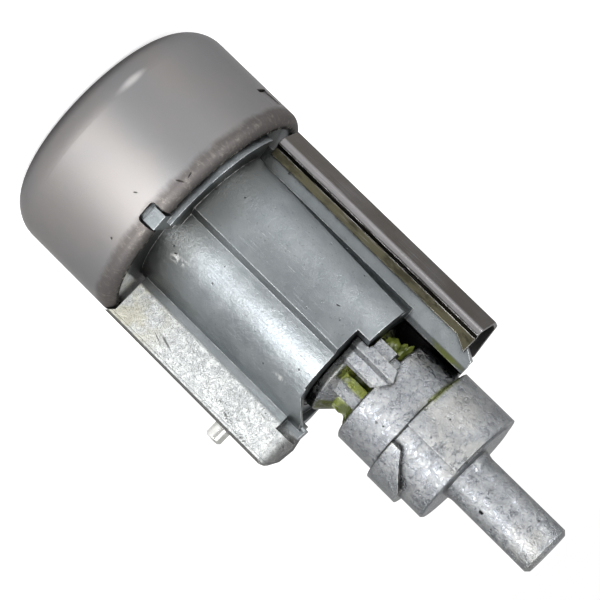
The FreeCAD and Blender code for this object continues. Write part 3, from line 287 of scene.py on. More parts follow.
class Finish:
    # one material with its shader, the surface's own coordinates and the calls that build it up
    def __init__(self, name, settings):
        self.material = bpy.data.materials.new(name)
        self.material.use_nodes = True
        self.tree = self.material.node_tree
        self.shader = self.tree.nodes["Principled BSDF"]
        self.where = place(self.tree, "ShaderNodeTexCoord").outputs["Object"]
        split = place(self.tree, "ShaderNodeSeparateXYZ")
        feed(self.tree, split.inputs[0], self.where)
        self.x, self.y, self.z = split.outputs
        for socket, value in settings.items():
            feed(self.tree, self.shader.inputs[socket], value)

    def group(self, name, **values):
        node = place(self.tree, "ShaderNodeGroup", node_tree=shared[name])
        feed(self.tree, node.inputs["Vector"], self.where)
        for label, value in values.items():
            feed(self.tree, node.inputs[label.replace("_", " ")], value)
        return node.outputs

    def fromAxis(self):
        # distance from the turning axis
        flat = place(self.tree, "ShaderNodeCombineXYZ")
        feed(self.tree, flat.inputs[0], self.x)
        feed(self.tree, flat.inputs[1], self.y)
        size = place(self.tree, "ShaderNodeVectorMath", operation="LENGTH")
        feed(self.tree, size.inputs[0], flat.outputs[0])
        return size.outputs["Value"]

    def aroundAxis(self):
        # degrees round the axis, from the side that the photograph shows towards the rib
        toward = calc(self.tree, "MULTIPLY", self.y, -1.0)
        return calc(self.tree, "MULTIPLY", calc(self.tree, "ARCTAN2", self.x, toward), 180 / math.pi)

    def spot(self, centre, reach, turn, ragged, raggedScale, core):
        # places and reaches in millimetres
        outputs = self.group("spot", Centre=tuple(value * mm for value in centre),
                             Reach=tuple(value * mm for value in reach), Turn=turn, Ragged=ragged,
                             Ragged_Scale=raggedScale, Core=core)
        return outputs["Mask"]

    def spots(self, marks, raggedScale, core):
        # one mask for a list of marks: centre, reach, turn and raggedness
        return self.most(*(self.spot(*mark, raggedScale, core) for mark in marks))

    def patches(self, noiseLook, limits, stretch=None):
        # noise of a scale, detail, roughness and twist, cut soft between two levels
        vector = scaled(self.tree, self.where, stretch) if stretch else self.where
        return between(self.tree, grainOf(self.tree, vector, *noiseLook), *limits)

    def past(self, value, limits):
        # 0 before the first limit and 1 after the second, in millimetres
        low, high = limits
        return between(self.tree, value, low * mm, high * mm)

    def band(self, value, limits, unit=mm):
        # 1 while the value lies between low and high
        low, high, soft = (limit * unit for limit in limits)
        rise = between(self.tree, value, low - soft, low + soft)
        fall = between(self.tree, value, high - soft, high + soft, 1.0, 0.0)
        return calc(self.tree, "MULTIPLY", rise, fall)

    def both(self, first, second):
        return calc(self.tree, "MULTIPLY", first, second)

    def most(self, *masks):
        result = masks[0]
        for mask in masks[1:]:
            result = calc(self.tree, "MAXIMUM", result, mask)
        return result

    def level(self, mask, amount, base=0.0):
        # base plus the mask times an amount
        node = place(self.tree, "ShaderNodeMath", operation="MULTIPLY_ADD")
        feed(self.tree, node.inputs[0], mask)
        feed(self.tree, node.inputs[1], amount)
        feed(self.tree, node.inputs[2], base)
        return node.outputs[0]

    def stack(self, base, masks, amounts):
        # base plus each named mask times its amount
        for name, amount in amounts.items():
            base = self.level(masks[name], amount, base)
        return base

    def tint(self, colour, mask, other):
        return mixColour(self.tree, mask, colour, other)

    def paint(self, colour, masks, look, layers):
        # each layer has its mask's share and the name of its colour, and lies over the one before
        for name, (share, other) in layers.items():
            colour = self.tint(colour, self.level(masks[name], share), look[other])
        return colour

    def finish(self, colour, rough, height, depth, normal=None):
        feed(self.tree, self.shader.inputs["Base Color"], colour)
        feed(self.tree, self.shader.inputs["Roughness"], rough)
        bump = place(self.tree, "ShaderNodeBump")
        bump.inputs["Strength"].default_value = 1.0
        bump.inputs["Distance"].default_value = depth
        feed(self.tree, bump.inputs["Height"], height)
        if normal is not None:
            feed(self.tree, bump.inputs["Normal"], normal)
        feed(self.tree, self.shader.inputs["Normal"], bump.outputs["Normal"])
        return self.material


# Cap: satin steel sheet, darker and rubbed where it was rolled over the housing

capSteel = {
    "cool": (0.41, 0.41, 0.415), "warm": (0.425, 0.415, 0.41), "shadow": (0.20, 0.195, 0.195),
    "crimped": (0.265, 0.25, 0.245), "rubbed": (0.60, 0.58, 0.54), "bright": (0.86, 0.85, 0.84),
    "dark": (0.045, 0.04, 0.04), "rough": 0.41, "depth": 0.014 * mm,
    "skin": {"Cloud_Scale": 70.0, "Frost_Scale": 900.0, "Grain_Scale": 5200.0},
    "lines": {"Stretch": (160.0, 160.0, 5200.0), "Patch_Scale": 90.0},
    "stray": {"Stretch": (2400.0, 90.0, 900.0), "Patch_Scale": 60.0, "Amount": 0.5},
    "edges": {"Width": 0.14 * mm, "Break_Scale": 2600.0},
    "grime": {"Reach": 0.9 * mm, "Break_Scale": 1500.0},
    # the rolled part starts at a wavering height
    "waver": (420.0, 5.0, 0.65), "waverReach": 1.4 * mm, "crimpFrom": (17.8, 19.0),
    "scuffs": ((2300.0, 5.0, 0.72, 0.6), (0.5, 0.66), (1.0, 1.0, 0.3)),
    "lipInside": (16.8, 16.4), "lipFrom": (19.2, 19.6), "lipNicks": ((1500.0, 4.0, 0.7), (0.53, 0.6)),
    "rolledBand": (18.2, 19.95, 0.3), "rolledPatches": ((800.0, 5.0, 0.75), (0.56, 0.68)),
    # a bright spot on the front rounding is a painted highlight of a lamp
    # the front rounding is painted dark towards the shadow colour: a painted dark reflection
    "darkFrontReflection": (2.4, 0.3), "rub": ((-6.2, -16.9, 4.3), (5.2, 1.4, 0.75), 0.05, 0.35, 300.0, 0.1),
    # nicks: centre, reach, turn and raggedness
    "nicks": [((-1.07, -17.9, 18.35), (0.16, 1, 0.6), 0.5, 0.9),
              ((-2.5, -17.8, 18.7), (0.55, 1, 0.12), 0.3, 0.9),
              ((10.3, -14.8, 16.4), (0.2, 0.8, 0.2), 0.0, 0.5),
              ((3.9, -17.4, 15.2), (0.12, 0.8, 0.35), 0.6, 0.8)],
    "nickEdge": (1500.0, 0.55),
    # corners are darkened by ambient occlusion: dirt and painted shade
    "layers": {"clouds": (1.0, "warm"), "front": (0.9, "shadow"), "rub": (0.3, "bright"),
               "crimp": (0.8, "crimped"), "scuffs": (0.14, "rubbed"), "rolled": (0.2, "rubbed"),
               "edges": (0.3, "rubbed"), "grime": (0.8, "dark"), "lip": (0.85, "dark"),
               "lipNicks": (0.8, "rubbed"), "nicks": (0.7, "dark")},
    "roughLayers": {"grain": 0.10, "crimp": 0.16},
    "relief": {"grain": 0.45, "lines": -0.15, "stray": -0.25, "scuffs": 0.25, "nicks": -4.0,
               "crimpWaver": 1.6, "rolled": 0.4, "clouds": 0.5},
}


def makeCapSteel():
    look = capSteel
    finish = Finish("capSteel", wornMetal)
    skin = finish.group("castSkin", **look["skin"])
    edges = finish.group("edgeWear", **look["edges"])
    waver = grainOf(finish.tree, finish.where, *look["waver"])
    crimp = finish.past(finish.level(waver, look["waverReach"], finish.z), look["crimpFrom"])
    # the sheet's cut edge is dirty, with bright nicks
    lip = finish.past(finish.fromAxis(), look["lipInside"])
    lip = finish.both(lip, finish.past(finish.z, look["lipFrom"]))
    rolled = finish.band(finish.z, look["rolledBand"])
    masks = {
        "clouds": skin["Clouds"], "grain": skin["Grain"], "crimp": crimp, "lip": lip, "edges": edges["Mask"],
        "grime": finish.group("cornerGrimeAndShade", **look["grime"])["Mask"],
        "lines": finish.group("scratches", **look["lines"])["Mask"],
        "stray": finish.group("scratches", **look["stray"])["Mask"],
        "scuffs": finish.both(crimp, finish.patches(*look["scuffs"])),
        "lipNicks": finish.both(lip, finish.patches(*look["lipNicks"])),
        "rolled": finish.both(rolled, finish.patches(*look["rolledPatches"])),
        # the bright spot on the front rounding is a painted highlight
        "nicks": finish.spots(look["nicks"], *look["nickEdge"]), "rub": finish.spot(*look["rub"]),
        # the front rounding painted dark: a painted dark reflection
        "front": finish.past(finish.z, look["darkFrontReflection"]), "crimpWaver": finish.both(crimp, waver),
    }
    colour = finish.paint(look["cool"], masks, look, look["layers"])
    rough = finish.stack(look["rough"], masks, look["roughLayers"])
    height = finish.stack(0.0, masks, look["relief"])
    return finish.finish(colour, rough, height, look["depth"], edges["Normal"])


# Zinc body: smooth grey skin on the barrel and panel, a frosted skin on the rib whose light colour is partly
# painted light, knocks and pits

zincBody = {
    "base": (0.43, 0.45, 0.46), "pale": (0.49, 0.505, 0.51), "dull": (0.375, 0.39, 0.40),
    # the rib's light colour is partly its frosted skin and partly painted light
    "rib": (0.63, 0.64, 0.64), "ribLine": (0.37, 0.37, 0.37), "ribPale": (0.75, 0.76, 0.755),
    "ribStain": (0.64, 0.625, 0.55), "ribSide": (0.28, 0.28, 0.275), "bare": (0.80, 0.80, 0.79),
    "dirtAndShade": (0.05, 0.05, 0.045), "oilAndShade": (0.035, 0.037, 0.03), "mark": (0.12, 0.12, 0.12),
    "soft": (0.30, 0.305, 0.30), "grease": (0.30, 0.32, 0.12), "rough": 0.29, "depth": 0.020 * mm,
    "skin": {"Cloud_Scale": 260.0, "Frost_Scale": 1500.0, "Line_Scale": 2100.0, "Grain_Scale": 5200.0},
    "lines": {"Stretch": (2600.0, 2600.0, 70.0), "Patch_Scale": 150.0},
    "stray": {"Stretch": (1500.0, 500.0, 300.0), "Patch_Scale": 120.0, "Amount": 0.6},
    "drawn": {"Stretch": (2600.0, 900.0, 34.0), "Patch_Scale": 900.0},
    "edges": {"Width": 0.16 * mm, "Break_Scale": 1300.0},
    "grime": {"Reach": 1.1 * mm, "Break_Scale": 620.0},
    "pits": {"Scale": 1100.0, "Size": 0.11, "Share": 0.05}, "pitShare": 0.6,
    "pepper": {"Scale": 4300.0, "Level": 0.53}, "fewDots": {"Scale": 3000.0, "Level": 0.66},
    "broad": ((95.0, 3.0, 0.55), (0.42, 0.62)), "crust": (820.0, 5.0, 0.7, 1.3), "frostedRange": (0.42, 0.6),
    "scrapeRange": (0.44, 0.58),
    # the rib's outer parts have a frosted skin, painted lighter partly as painted light on the face turned to
    # the lamps; its outer edge and its nose are grey
    "ribFrom": (12.0, 12.5), "ribEdgeFrom": (17.6, 17.75), "noseFrom": (48.0, 49.3),
    "seamBand": (17.28, 17.36, 0.05), "stainTo": (30.0, 23.0), "stains": ((330.0, 4.0, 0.6), (0.38, 0.6)),
    # fine lines along the panel, and the barrel's front end next to the cap painted darker: painted shade
    "drawnAt": ((-3.2, -12.2, 32.5), (2.8, 3.0, 6.5), 0.0, 0.8, 400.0, 0.3),
    "frontShadeTo": (28.5, 21.5), "frontShadeInside": (14.6, 13.6),
    # oil and painted shade inside, behind the barrel's end, where the shell's inner side is painted black as
    # shade, and grease on the arm
    "behind": (46.85, 47.3), "oilAndShadeInside": (10.75, 10.45), "shadedInside": (9.3, 8.9), "shadedFrom": (-4.0, -6.0),
    "greasyAt": ((-9.3, -4.55, 56.3), (1.0, 0.5, 3.6), 0.0, 1.0, 900.0, 0.3), "greasyFrom": (-9.7, -9.2),
    # dark knocks: centre, reach, turn and raggedness
    "knocks": [((-10.7, -6.5, 31.3), (0.22, 0.5, 0.62), 0.5, 0.6),
               ((-10.5, -6.8, 35.6), (0.16, 0.4, 0.2), 0.0, 0.6),
               ((1.0, -12.4, 31.0), (0.1, 0.5, 0.1), 0.0, 0.6),
               ((-3.9, -11.9, 43.0), (0.12, 0.5, 0.35), 0.4, 0.8),
               ((8.2, -7.9, 40.6), (0.12, 0.5, 0.12), 0.0, 0.6),
               ((6.0, -9.7, 22.6), (0.1, 0.5, 0.3), 0.5, 0.8)],
    "knockEdge": (2100.0, 0.5),
    # softer grey places on the rib
    "grey": [((15.35, -2.7, 28.4), (0.24, 1.0, 1.9), -0.27, 0.5),
             ((15.75, -2.7, 27.2), (0.1, 1.0, 1.6), -0.35, 0.5)],
    "greyEdge": (1500.0, 0.2),
    # porous places on the rib, and light scrapes on the barrel
    "porous": [((16.5, -2.7, 41.3), (0.7, 1.0, 1.7), -0.25, 0.9),
               ((17.2, -2.7, 44.2), (0.6, 1.0, 2.4), -0.2, 0.9),
               ((15.9, -2.7, 38.9), (0.6, 1.0, 0.7), 0.3, 0.9)],
    "scrapes": [((6.4, -9.4, 23.4), (0.9, 0.9, 2.2), 0.3, 0.9),
                ((8.0, -8.1, 43.5), (0.5, 0.9, 1.6), 0.0, 0.9),
                ((1.8, -12.3, 22.4), (1.3, 0.7, 0.9), 0.2, 1.2)],
    "softEdge": (900.0, 0.2),
    "underLayers": {"clouds": (0.55, "pale"), "broad": (0.5, "dull"), "frost": (0.16, "pale"),
                    "dust": (0.85, "soft")},
    "ribLayers": {"frosted": (0.7, "ribPale"), "curls": (0.65, "ribLine"), "stained": (0.6, "ribStain"),
                  "side": (0.9, "ribSide"), "seam": (0.6, "ribSide"), "grey": (0.85, "soft"),
                  "porous": (0.8, "soft")},
    # corners are darkened by ambient occlusion: dirt and painted shade
    "overLayers": {"scrapes": (0.5, "bare"), "drawn": (0.35, "bare"), "edges": (0.7, "bare"),
                   "fewDots": (0.5, "soft"), "inside": (0.6, "oilAndShade"), "grime": (0.75, "dirtAndShade"),
                   "marks": (1.0, "mark"), "deep": (1.0, "oilAndShade"), "greasy": (0.8, "grease")},
    "roughLayers": {"clouds": 0.07, "rib": 0.26, "deep": 0.3},
    "relief": {"grain": 0.7, "frost": 0.35, "clouds": 0.8, "pits": -3.0, "knocks": -6.0, "grey": -2.0,
               "porous": -3.0, "lines": -0.3, "stray": -0.4, "drawn": -0.5, "scrapes": 0.3,
               "ribCrust": 6.0, "ribCurls": -1.2, "seam": -1.5},
}


def makeZincBody():
    look = zincBody
    finish = Finish("zincBody", wornMetal)
    tree = finish.tree
    away = finish.fromAxis()
    skin = finish.group("castSkin", **look["skin"])
    edges = finish.group("edgeWear", **look["edges"])
    pits = finish.group("pits", **look["pits"])["Mask"]
    pepper = finish.group("peppering", **look["pepper"])["Mask"]
    knocks = finish.spots(look["knocks"], *look["knockEdge"])
    crust = grainOf(tree, finish.where, *look["crust"])
    scraped = between(tree, crust, *look["scrapeRange"])
    rib = finish.past(finish.x, look["ribFrom"])
    nose = finish.both(finish.past(finish.z, look["noseFrom"]), rib)
    behind = finish.past(finish.z, look["behind"])
    deep = finish.both(finish.past(away, look["shadedInside"]), finish.past(finish.x, look["shadedFrom"]))
    drawnLines = finish.group("scratches", **look["drawn"])["Mask"]
    masks = {
        "clouds": skin["Clouds"], "frost": skin["Frost"], "grain": skin["Grain"], "curls": skin["Lines"],
        "edges": edges["Mask"], "pits": pits, "knocks": knocks, "rib": rib,
        "marks": finish.most(finish.level(pits, look["pitShare"]), knocks),
        "grime": finish.group("cornerGrimeAndShade", **look["grime"])["Mask"],
        "lines": finish.group("scratches", **look["lines"])["Mask"],
        "stray": finish.group("scratches", **look["stray"])["Mask"],
        "fewDots": finish.group("peppering", **look["fewDots"])["Mask"],
        "broad": finish.patches(*look["broad"]), "frosted": between(tree, crust, *look["frostedRange"]),
        "stained": finish.both(finish.past(finish.z, look["stainTo"]), finish.patches(*look["stains"])),
        "side": finish.most(finish.past(finish.x, look["ribEdgeFrom"]), nose),
        "seam": finish.band(finish.x, look["seamBand"]),
        "grey": finish.spots(look["grey"], *look["greyEdge"]),
        "porous": finish.both(finish.spots(look["porous"], *look["softEdge"]), pepper),
        "scrapes": finish.both(finish.spots(look["scrapes"], *look["softEdge"]), scraped),
        "drawn": finish.both(finish.spot(*look["drawnAt"]), drawnLines),
        # the barrel's front end next to the cap is painted darker: painted shade
        "dust": finish.both(finish.past(finish.z, look["frontShadeTo"]), finish.past(away, look["frontShadeInside"])),
        # inside the housing behind the barrel is painted near black: oil and painted shade, fully black as
        # painted shade on the shell's inner side
        "inside": finish.both(behind, finish.past(away, look["oilAndShadeInside"])),
        "deep": finish.both(behind, deep),
        "greasy": finish.both(finish.spot(*look["greasyAt"]), finish.past(finish.x, look["greasyFrom"])),
        "ribCrust": finish.both(rib, crust), "ribCurls": finish.both(rib, skin["Lines"]),
    }
    colour = finish.paint(look["base"], masks, look, look["underLayers"])
    # the rib's colours are partly painted light, lighter on the face turned to the lamps
    ribColour = finish.paint(look["rib"], masks, look, look["ribLayers"])
    colour = finish.paint(finish.tint(colour, rib, ribColour), masks, look, look["overLayers"])
    rough = finish.stack(look["rough"], masks, look["roughLayers"])
    height = finish.stack(0.0, masks, look["relief"])
    return finish.finish(colour, rough, height, look["depth"], edges["Normal"])


# Zinc turning parts: frosty flow marks, a stained shaft and grease round the neck

zincRotor = {
    "base": (0.44, 0.45, 0.465), "pale": (0.54, 0.545, 0.54), "dull": (0.375, 0.39, 0.41),
    "bare": (0.80, 0.80, 0.78), "warm": (0.60, 0.59, 0.56), "dirtAndShade": (0.05, 0.05, 0.045),
    "mark": (0.11, 0.11, 0.11), "grease": (0.30, 0.32, 0.12), "thickGrease": (0.17, 0.18, 0.05),
    "oilAndShade": (0.05, 0.055, 0.04), "dark": (0.07, 0.075, 0.05), "rough": 0.27, "depth": 0.020 * mm,
    "skin": {"Cloud_Scale": 300.0, "Frost_Scale": 1000.0, "Line_Scale": 1500.0, "Grain_Scale": 4600.0},
    "lines": {"Stretch": (1900.0, 1900.0, 120.0), "Patch_Scale": 200.0},
    "edges": {"Width": 0.2 * mm, "Break_Scale": 1300.0},
    "grime": {"Reach": 0.8 * mm, "Break_Scale": 700.0},
    "pits": {"Scale": 900.0, "Size": 0.12, "Share": 0.07}, "pitShare": 0.6,
    "dots": {"Scale": 2600.0, "Level": 0.63}, "broad": ((150.0, 3.0, 0.55), (0.5, 0.65)),
    # grease lies in the groove between the collar and the drum, least where the cam's flat bar stands
    "smears": ((420.0, 4.0, 0.62, 0.8), (0.3, 0.5)), "smearShare": 0.5, "grooveBand": (47.9, 52.95, 0.12),
    "grooveInside": (8.2, 7.7), "bareTurn": (22.0, 57.0, 3.0), "thickRange": (0.4, 0.9),
    # below the collar's edge the neck is painted near black: painted shade with some oil
    "filmShare": 0.95, "collarShadeTo": (48.3, 47.9),
    # the joint between the drums holds dirt, and grease on its right
    "jointBand": (59.42, 59.72, 0.07), "seamBand": (59.1, 60.0, 0.25), "seamTurn": (-62.0, -18.0, 8.0),
    "rearBand": (68.1, 68.6, 0.12), "rearOutside": (4.0, 4.3),
    "knocks": [((2.26, -3.0, 73.6), (0.3, 0.4, 0.42), 0.3, 0.9),
               ((3.1, -7.7, 57.4), (0.14, 0.4, 0.14), 0.0, 0.9),
               ((-3.5, -8.6, 63.0), (0.14, 0.4, 0.14), 0.3, 0.9),
               ((2.9, -2.4, 76.0), (0.12, 0.3, 0.2), 0.0, 0.9)],
    "knockEdge": (2400.0, 0.5),
    # corners are darkened by ambient occlusion: dirt and painted shade
    "layers": {"frost": (0.75, "pale"), "clouds": (0.55, "dull"), "broad": (0.3, "warm"),
               "curls": (0.16, "bare"), "edges": (0.6, "bare"), "dots": (0.4, "mark"),
               "rearFace": (0.4, "dull"), "grime": (0.75, "dirtAndShade"), "marks": (1.0, "mark"),
               "collar": (0.85, "oilAndShade"), "joint": (0.75, "dark"), "seam": (0.75, "grease")},
    "roughLayers": {"frost": 0.12},
    "relief": {"frost": 1.5, "curls": -0.5, "grain": 0.9, "pits": -3.0, "knocks": -6.0, "clouds": 1.4,
               "lines": -0.3, "film": 2.0, "joint": -3.0},
}


def makeZincRotor():
    look = zincRotor
    finish = Finish("zincRotor", wornMetal)
    tree = finish.tree
    away = finish.fromAxis()
    turned = finish.aroundAxis()
    skin = finish.group("castSkin", **look["skin"])
    edges = finish.group("edgeWear", **look["edges"])
    pits = finish.group("pits", **look["pits"])["Mask"]
    knocks = finish.spots(look["knocks"], *look["knockEdge"])
    smeared = finish.patches(*look["smears"])
    groove = finish.both(finish.band(finish.z, look["grooveBand"]), finish.past(away, look["grooveInside"]))
    covered = calc(tree, "SUBTRACT", 1.0, finish.band(turned, look["bareTurn"], 1.0))
    uneven = finish.level(smeared, look["smearShare"], 1 - look["smearShare"])
    film = finish.both(finish.both(groove, covered), uneven)
    seamSide = finish.both(finish.band(turned, look["seamTurn"], 1.0), smeared)
    rear = finish.band(finish.z, look["rearBand"])
    masks = {
        "clouds": skin["Clouds"], "frost": skin["Frost"], "grain": skin["Grain"], "curls": skin["Lines"],
        "edges": edges["Mask"], "pits": pits, "knocks": knocks, "film": film,
        "marks": finish.most(finish.level(pits, look["pitShare"]), knocks),
        "grime": finish.group("cornerGrimeAndShade", **look["grime"])["Mask"],
        "lines": finish.group("scratches", **look["lines"])["Mask"],
        "dots": finish.group("peppering", **look["dots"])["Mask"],
        # the collar is painted near black: painted shade with some oil
        "broad": finish.patches(*look["broad"]), "collar": finish.past(finish.z, look["collarShadeTo"]),
        "joint": finish.band(finish.z, look["jointBand"]),
        "seam": finish.both(finish.band(finish.z, look["seamBand"]), seamSide),
        "rearFace": finish.both(rear, finish.past(away, look["rearOutside"])),
    }
    colour = finish.paint(look["base"], masks, look, look["layers"])
    thick = between(tree, skin["Clouds"], *look["thickRange"])
    filmColour = finish.tint(look["grease"], thick, look["thickGrease"])
    colour = finish.tint(colour, finish.level(film, look["filmShare"]), filmColour)
    rough = finish.stack(look["rough"], masks, look["roughLayers"])
    height = finish.stack(0.0, masks, look["relief"])
    return finish.finish(colour, rough, height, look["depth"], edges["Normal"])


# Side cover: oiled steel strip, dark outside partly as painted shade, a painted highlight along its fold,
# olive on its foot

coverSteel = {
    # the strip's dark base colour is partly oiled steel and partly painted shade on its outer face
    "base": (0.335, 0.325, 0.32), "warm": (0.30, 0.285, 0.27), "bright": (0.66, 0.655, 0.66),
    "foldHighlight": (0.46, 0.455, 0.46), "shaded": (0.09, 0.085, 0.08), "olive": (0.29, 0.28, 0.22),
    "soil": (0.15, 0.145, 0.11), "dark": (0.03, 0.03, 0.028), "rough": 0.26, "depth": 0.014 * mm,
    "skin": {"Cloud_Scale": 130.0, "Frost_Scale": 900.0, "Grain_Scale": 4200.0},
    "rolled": {"Stretch": (3200.0, 3200.0, 40.0), "Patch_Scale": 90.0},
    "edges": {"Width": 0.22 * mm, "Break_Scale": 700.0},
    "grime": {"Reach": 0.9 * mm, "Break_Scale": 400.0},
    "cross": (1.0, 2.0), "crossStretch": (60.0, 60.0, 2600.0), "waver": (260.0, 3.0), "waverReach": 0.25 * mm,
    "nearFrom": (-4.0, -4.4), "footFrom": (-13.2, -12.95), "grooveBand": (-13.72, -13.02, 0.08),
    "foldBand": (-14.75, -13.7, 0.12), "soiled": ((700.0, 4.0, 0.65), (0.46, 0.62), (1.0, 1.0, 0.35)),
    # corners are darkened by ambient occlusion: dirt and painted shade
    "layers": {"clouds": (1.0, "warm"), "fold": (0.85, "foldHighlight"), "foot": (0.9, "olive"),
               "soiled": (0.7, "soil"), "groove": (0.85, "shaded"), "rolled": (0.25, "bright"),
               "edges": (0.7, "bright"), "grime": (0.8, "dark")},
    "roughLayers": {"cross": 0.14},
    "relief": {"grain": 0.5, "rolled": -0.4, "cross": 0.4, "clouds": 0.6, "soiled": 0.8},
}


def makeCoverSteel():
    look = coverSteel
    finish = Finish("coverSteel", wornMetal)
    tree = finish.tree
    skin = finish.group("castSkin", **look["skin"])
    edges = finish.group("edgeWear", **look["edges"])
    waver = finish.level(grainOf(tree, finish.where, *look["waver"]), look["waverReach"], finish.x)
    near = finish.past(finish.y, look["nearFrom"])
    foot = finish.both(near, finish.past(waver, look["footFrom"]))
    masks = {
        "clouds": skin["Clouds"], "grain": skin["Grain"], "edges": edges["Mask"], "foot": foot,
        "rolled": finish.group("scratches", **look["rolled"])["Mask"],
        "grime": finish.group("cornerGrimeAndShade", **look["grime"])["Mask"],
        "cross": grainOf(tree, scaled(tree, finish.where, look["crossStretch"]), *look["cross"]),
        "groove": finish.both(near, finish.band(waver, look["grooveBand"])),
        # the band along the fold carries a painted highlight
        "fold": finish.both(near, finish.band(finish.x, look["foldBand"])),
        "soiled": finish.both(foot, finish.patches(*look["soiled"])),
    }
    colour = finish.paint(look["base"], masks, look, look["layers"])
    rough = finish.stack(look["rough"], masks, look["roughLayers"])
    height = finish.stack(0.0, masks, look["relief"])
    return finish.finish(colour, rough, height, look["depth"], edges["Normal"])


# Turned and drawn small parts

smallMetals = {
    "pinSteel": {"base": (0.74, 0.74, 0.73), "other": (0.60, 0.60, 0.58), "rough": 0.16,
                 "stretch": (200.0, 4000.0, 4000.0)},
    "springSteel": {"base": (0.50, 0.49, 0.47), "other": (0.34, 0.33, 0.31), "rough": 0.3,
                    "stretch": (900.0, 900.0, 900.0)},
    "waferBrass": {"base": (0.74, 0.58, 0.28), "other": (0.55, 0.41, 0.19), "rough": 0.32,
                   "stretch": (2400.0, 120.0, 2400.0)},
    "plateSteel": {"base": (0.62, 0.615, 0.61), "other": (0.46, 0.45, 0.44), "rough": 0.3,
                   "stretch": (90.0, 2600.0, 900.0)},
}
smallMetalWear = {
    "bright": (0.85, 0.83, 0.78), "dirtAndShade": (0.06, 0.055, 0.05), "depth": 0.008 * mm, "linePatch": 300.0,
    "skin": {"Cloud_Scale": 420.0, "Grain_Scale": 6000.0},
    "edges": {"Width": 0.1 * mm, "Break_Scale": 2000.0}, "grime": {"Reach": 0.6 * mm, "Break_Scale": 1200.0},
    # corners are darkened by ambient occlusion: dirt and painted shade
    "layers": {"clouds": (0.7, "other"), "edges": (0.4, "bright"), "grime": (0.7, "dirtAndShade")},
    "roughLayers": {"clouds": 0.08}, "relief": {"grain": 0.4, "lines": -0.8},
}


def makeSmallMetal(name):
    look = {**smallMetalWear, **smallMetals[name]}
    finish = Finish(name, {"Metallic": 1.0})
    skin = finish.group("castSkin", **look["skin"])
    edges = finish.group("edgeWear", **look["edges"])
    lines = finish.group("scratches", Stretch=look["stretch"], Patch_Scale=look["linePatch"])
    masks = {
        "clouds": skin["Clouds"], "grain": skin["Grain"], "edges": edges["Mask"], "lines": lines["Mask"],
        "grime": finish.group("cornerGrimeAndShade", **look["grime"])["Mask"],
    }
    colour = finish.paint(look["base"], masks, look, look["layers"])
    rough = finish.stack(look["rough"], masks, look["roughLayers"])
    height = finish.stack(0.0, masks, look["relief"])
    return finish.finish(colour, rough, height, look["depth"], edges["Normal"])


# Grease: thick yellow-green lubricant, darker where it lies deep

greaseLook = {
    "thin": (0.35, 0.38, 0.16), "deep": (0.22, 0.25, 0.075), "rough": 0.2, "roughStreaks": 0.3,
    "streaks": (900.0, 4.0, 0.6, 1.0), "streakStretch": (1.0, 1.0, 1.8), "lumps": (420.0, 3.0, 0.55),
    "deepRange": (0.4, 0.62), "lumpHeight": 1.5, "depth": 0.10 * mm,
}


def makeGrease():
    look = greaseLook
    finish = Finish("grease", {"Metallic": 0.0, "Specular IOR Level": 0.5, "Subsurface Weight": 0.0})
    tree = finish.tree
    streaks = grainOf(tree, scaled(tree, finish.where, look["streakStretch"]), *look["streaks"])
    lumps = grainOf(tree, finish.where, *look["lumps"])
    colour = finish.tint(look["thin"], between(tree, lumps, *look["deepRange"]), look["deep"])
    rough = finish.level(streaks, look["roughStreaks"], look["rough"])
    height = finish.level(lumps, look["lumpHeight"], streaks)
    return finish.finish(colour, rough, height, look["depth"])


finishes = {
    "capSteel": makeCapSteel(), "zincBody": makeZincBody(), "zincRotor": makeZincRotor(),
    "coverSteel": makeCoverSteel(), "grease": makeGrease(),
}
for name in smallMetals:
    finishes[name] = makeSmallMetal(name)
print("finishes made:", len(finishes))

dressedAs = {
    "cap": "capSteel", "housing": "zincBody", "side_cover": "coverSteel", "lock_cam": "zincRotor",
    "tail_piece": "zincRotor", "key_plug": "zincRotor", "plug_face": "plateSteel", "shutter": "plateSteel",
    "release_pin": "pinSteel", "shutter_pin": "pinSteel", "cross_pin": "pinSteel",
}


def finishFor(name):
    if name.startswith("wafer_spring") or name.endswith("_spring"):
        return "springSteel"
    if name.startswith("wafer_"):
        return "waferBrass"
    return dressedAs[name]


for name, thing in nodes.items():
    thing.data.materials.clear()
    thing.data.materials.append(finishes[finishFor(name)])
print("parts dressed")


# Grease that stands proud: a collar in the neck's corner and smears on the turning parts

def addPiece(name, mesh, body, finish):
    piece = bpy.data.objects.new(name, mesh)
    bpy.context.scene.collection.objects.link(piece)
    for face in mesh.polygons:
        face.use_smooth = True
    mesh.materials.append(finishes[finish])
    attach(piece, body)
    return piece


def ringPlace(angle, radius, height):
    # angles start at the viewer's side and grow towards the rib
    return Vector((radius * math.sin(angle), -radius * math.cos(angle), height))


def roundNoise(angle, spread, height):
    # noise that closes on itself round the axis
    return noise.noise(Vector((math.sin(angle) * spread, math.cos(angle) * spread, height)))


greaseCollar = {
    "neck": 5.55 * mm, "front": 53.05 * mm, "out": 2.3 * mm, "up": 2.6 * mm, "sink": 0.1 * mm,
    "steps": 180, "ring": 10,
    # how full the corner is: middle, least, and the shares of a slow and a quick wave
    "full": 0.62, "least": 0.25, "wave": 0.45, "quick": 0.18, "waveAt": (2.1, 3.7), "quickAt": (8.0, 9.1),
    # the bead's hollow and its lumps
    "hollow": 0.42, "lump": 0.16, "lumpSpread": 6, "lumpStep": 0.7,
}


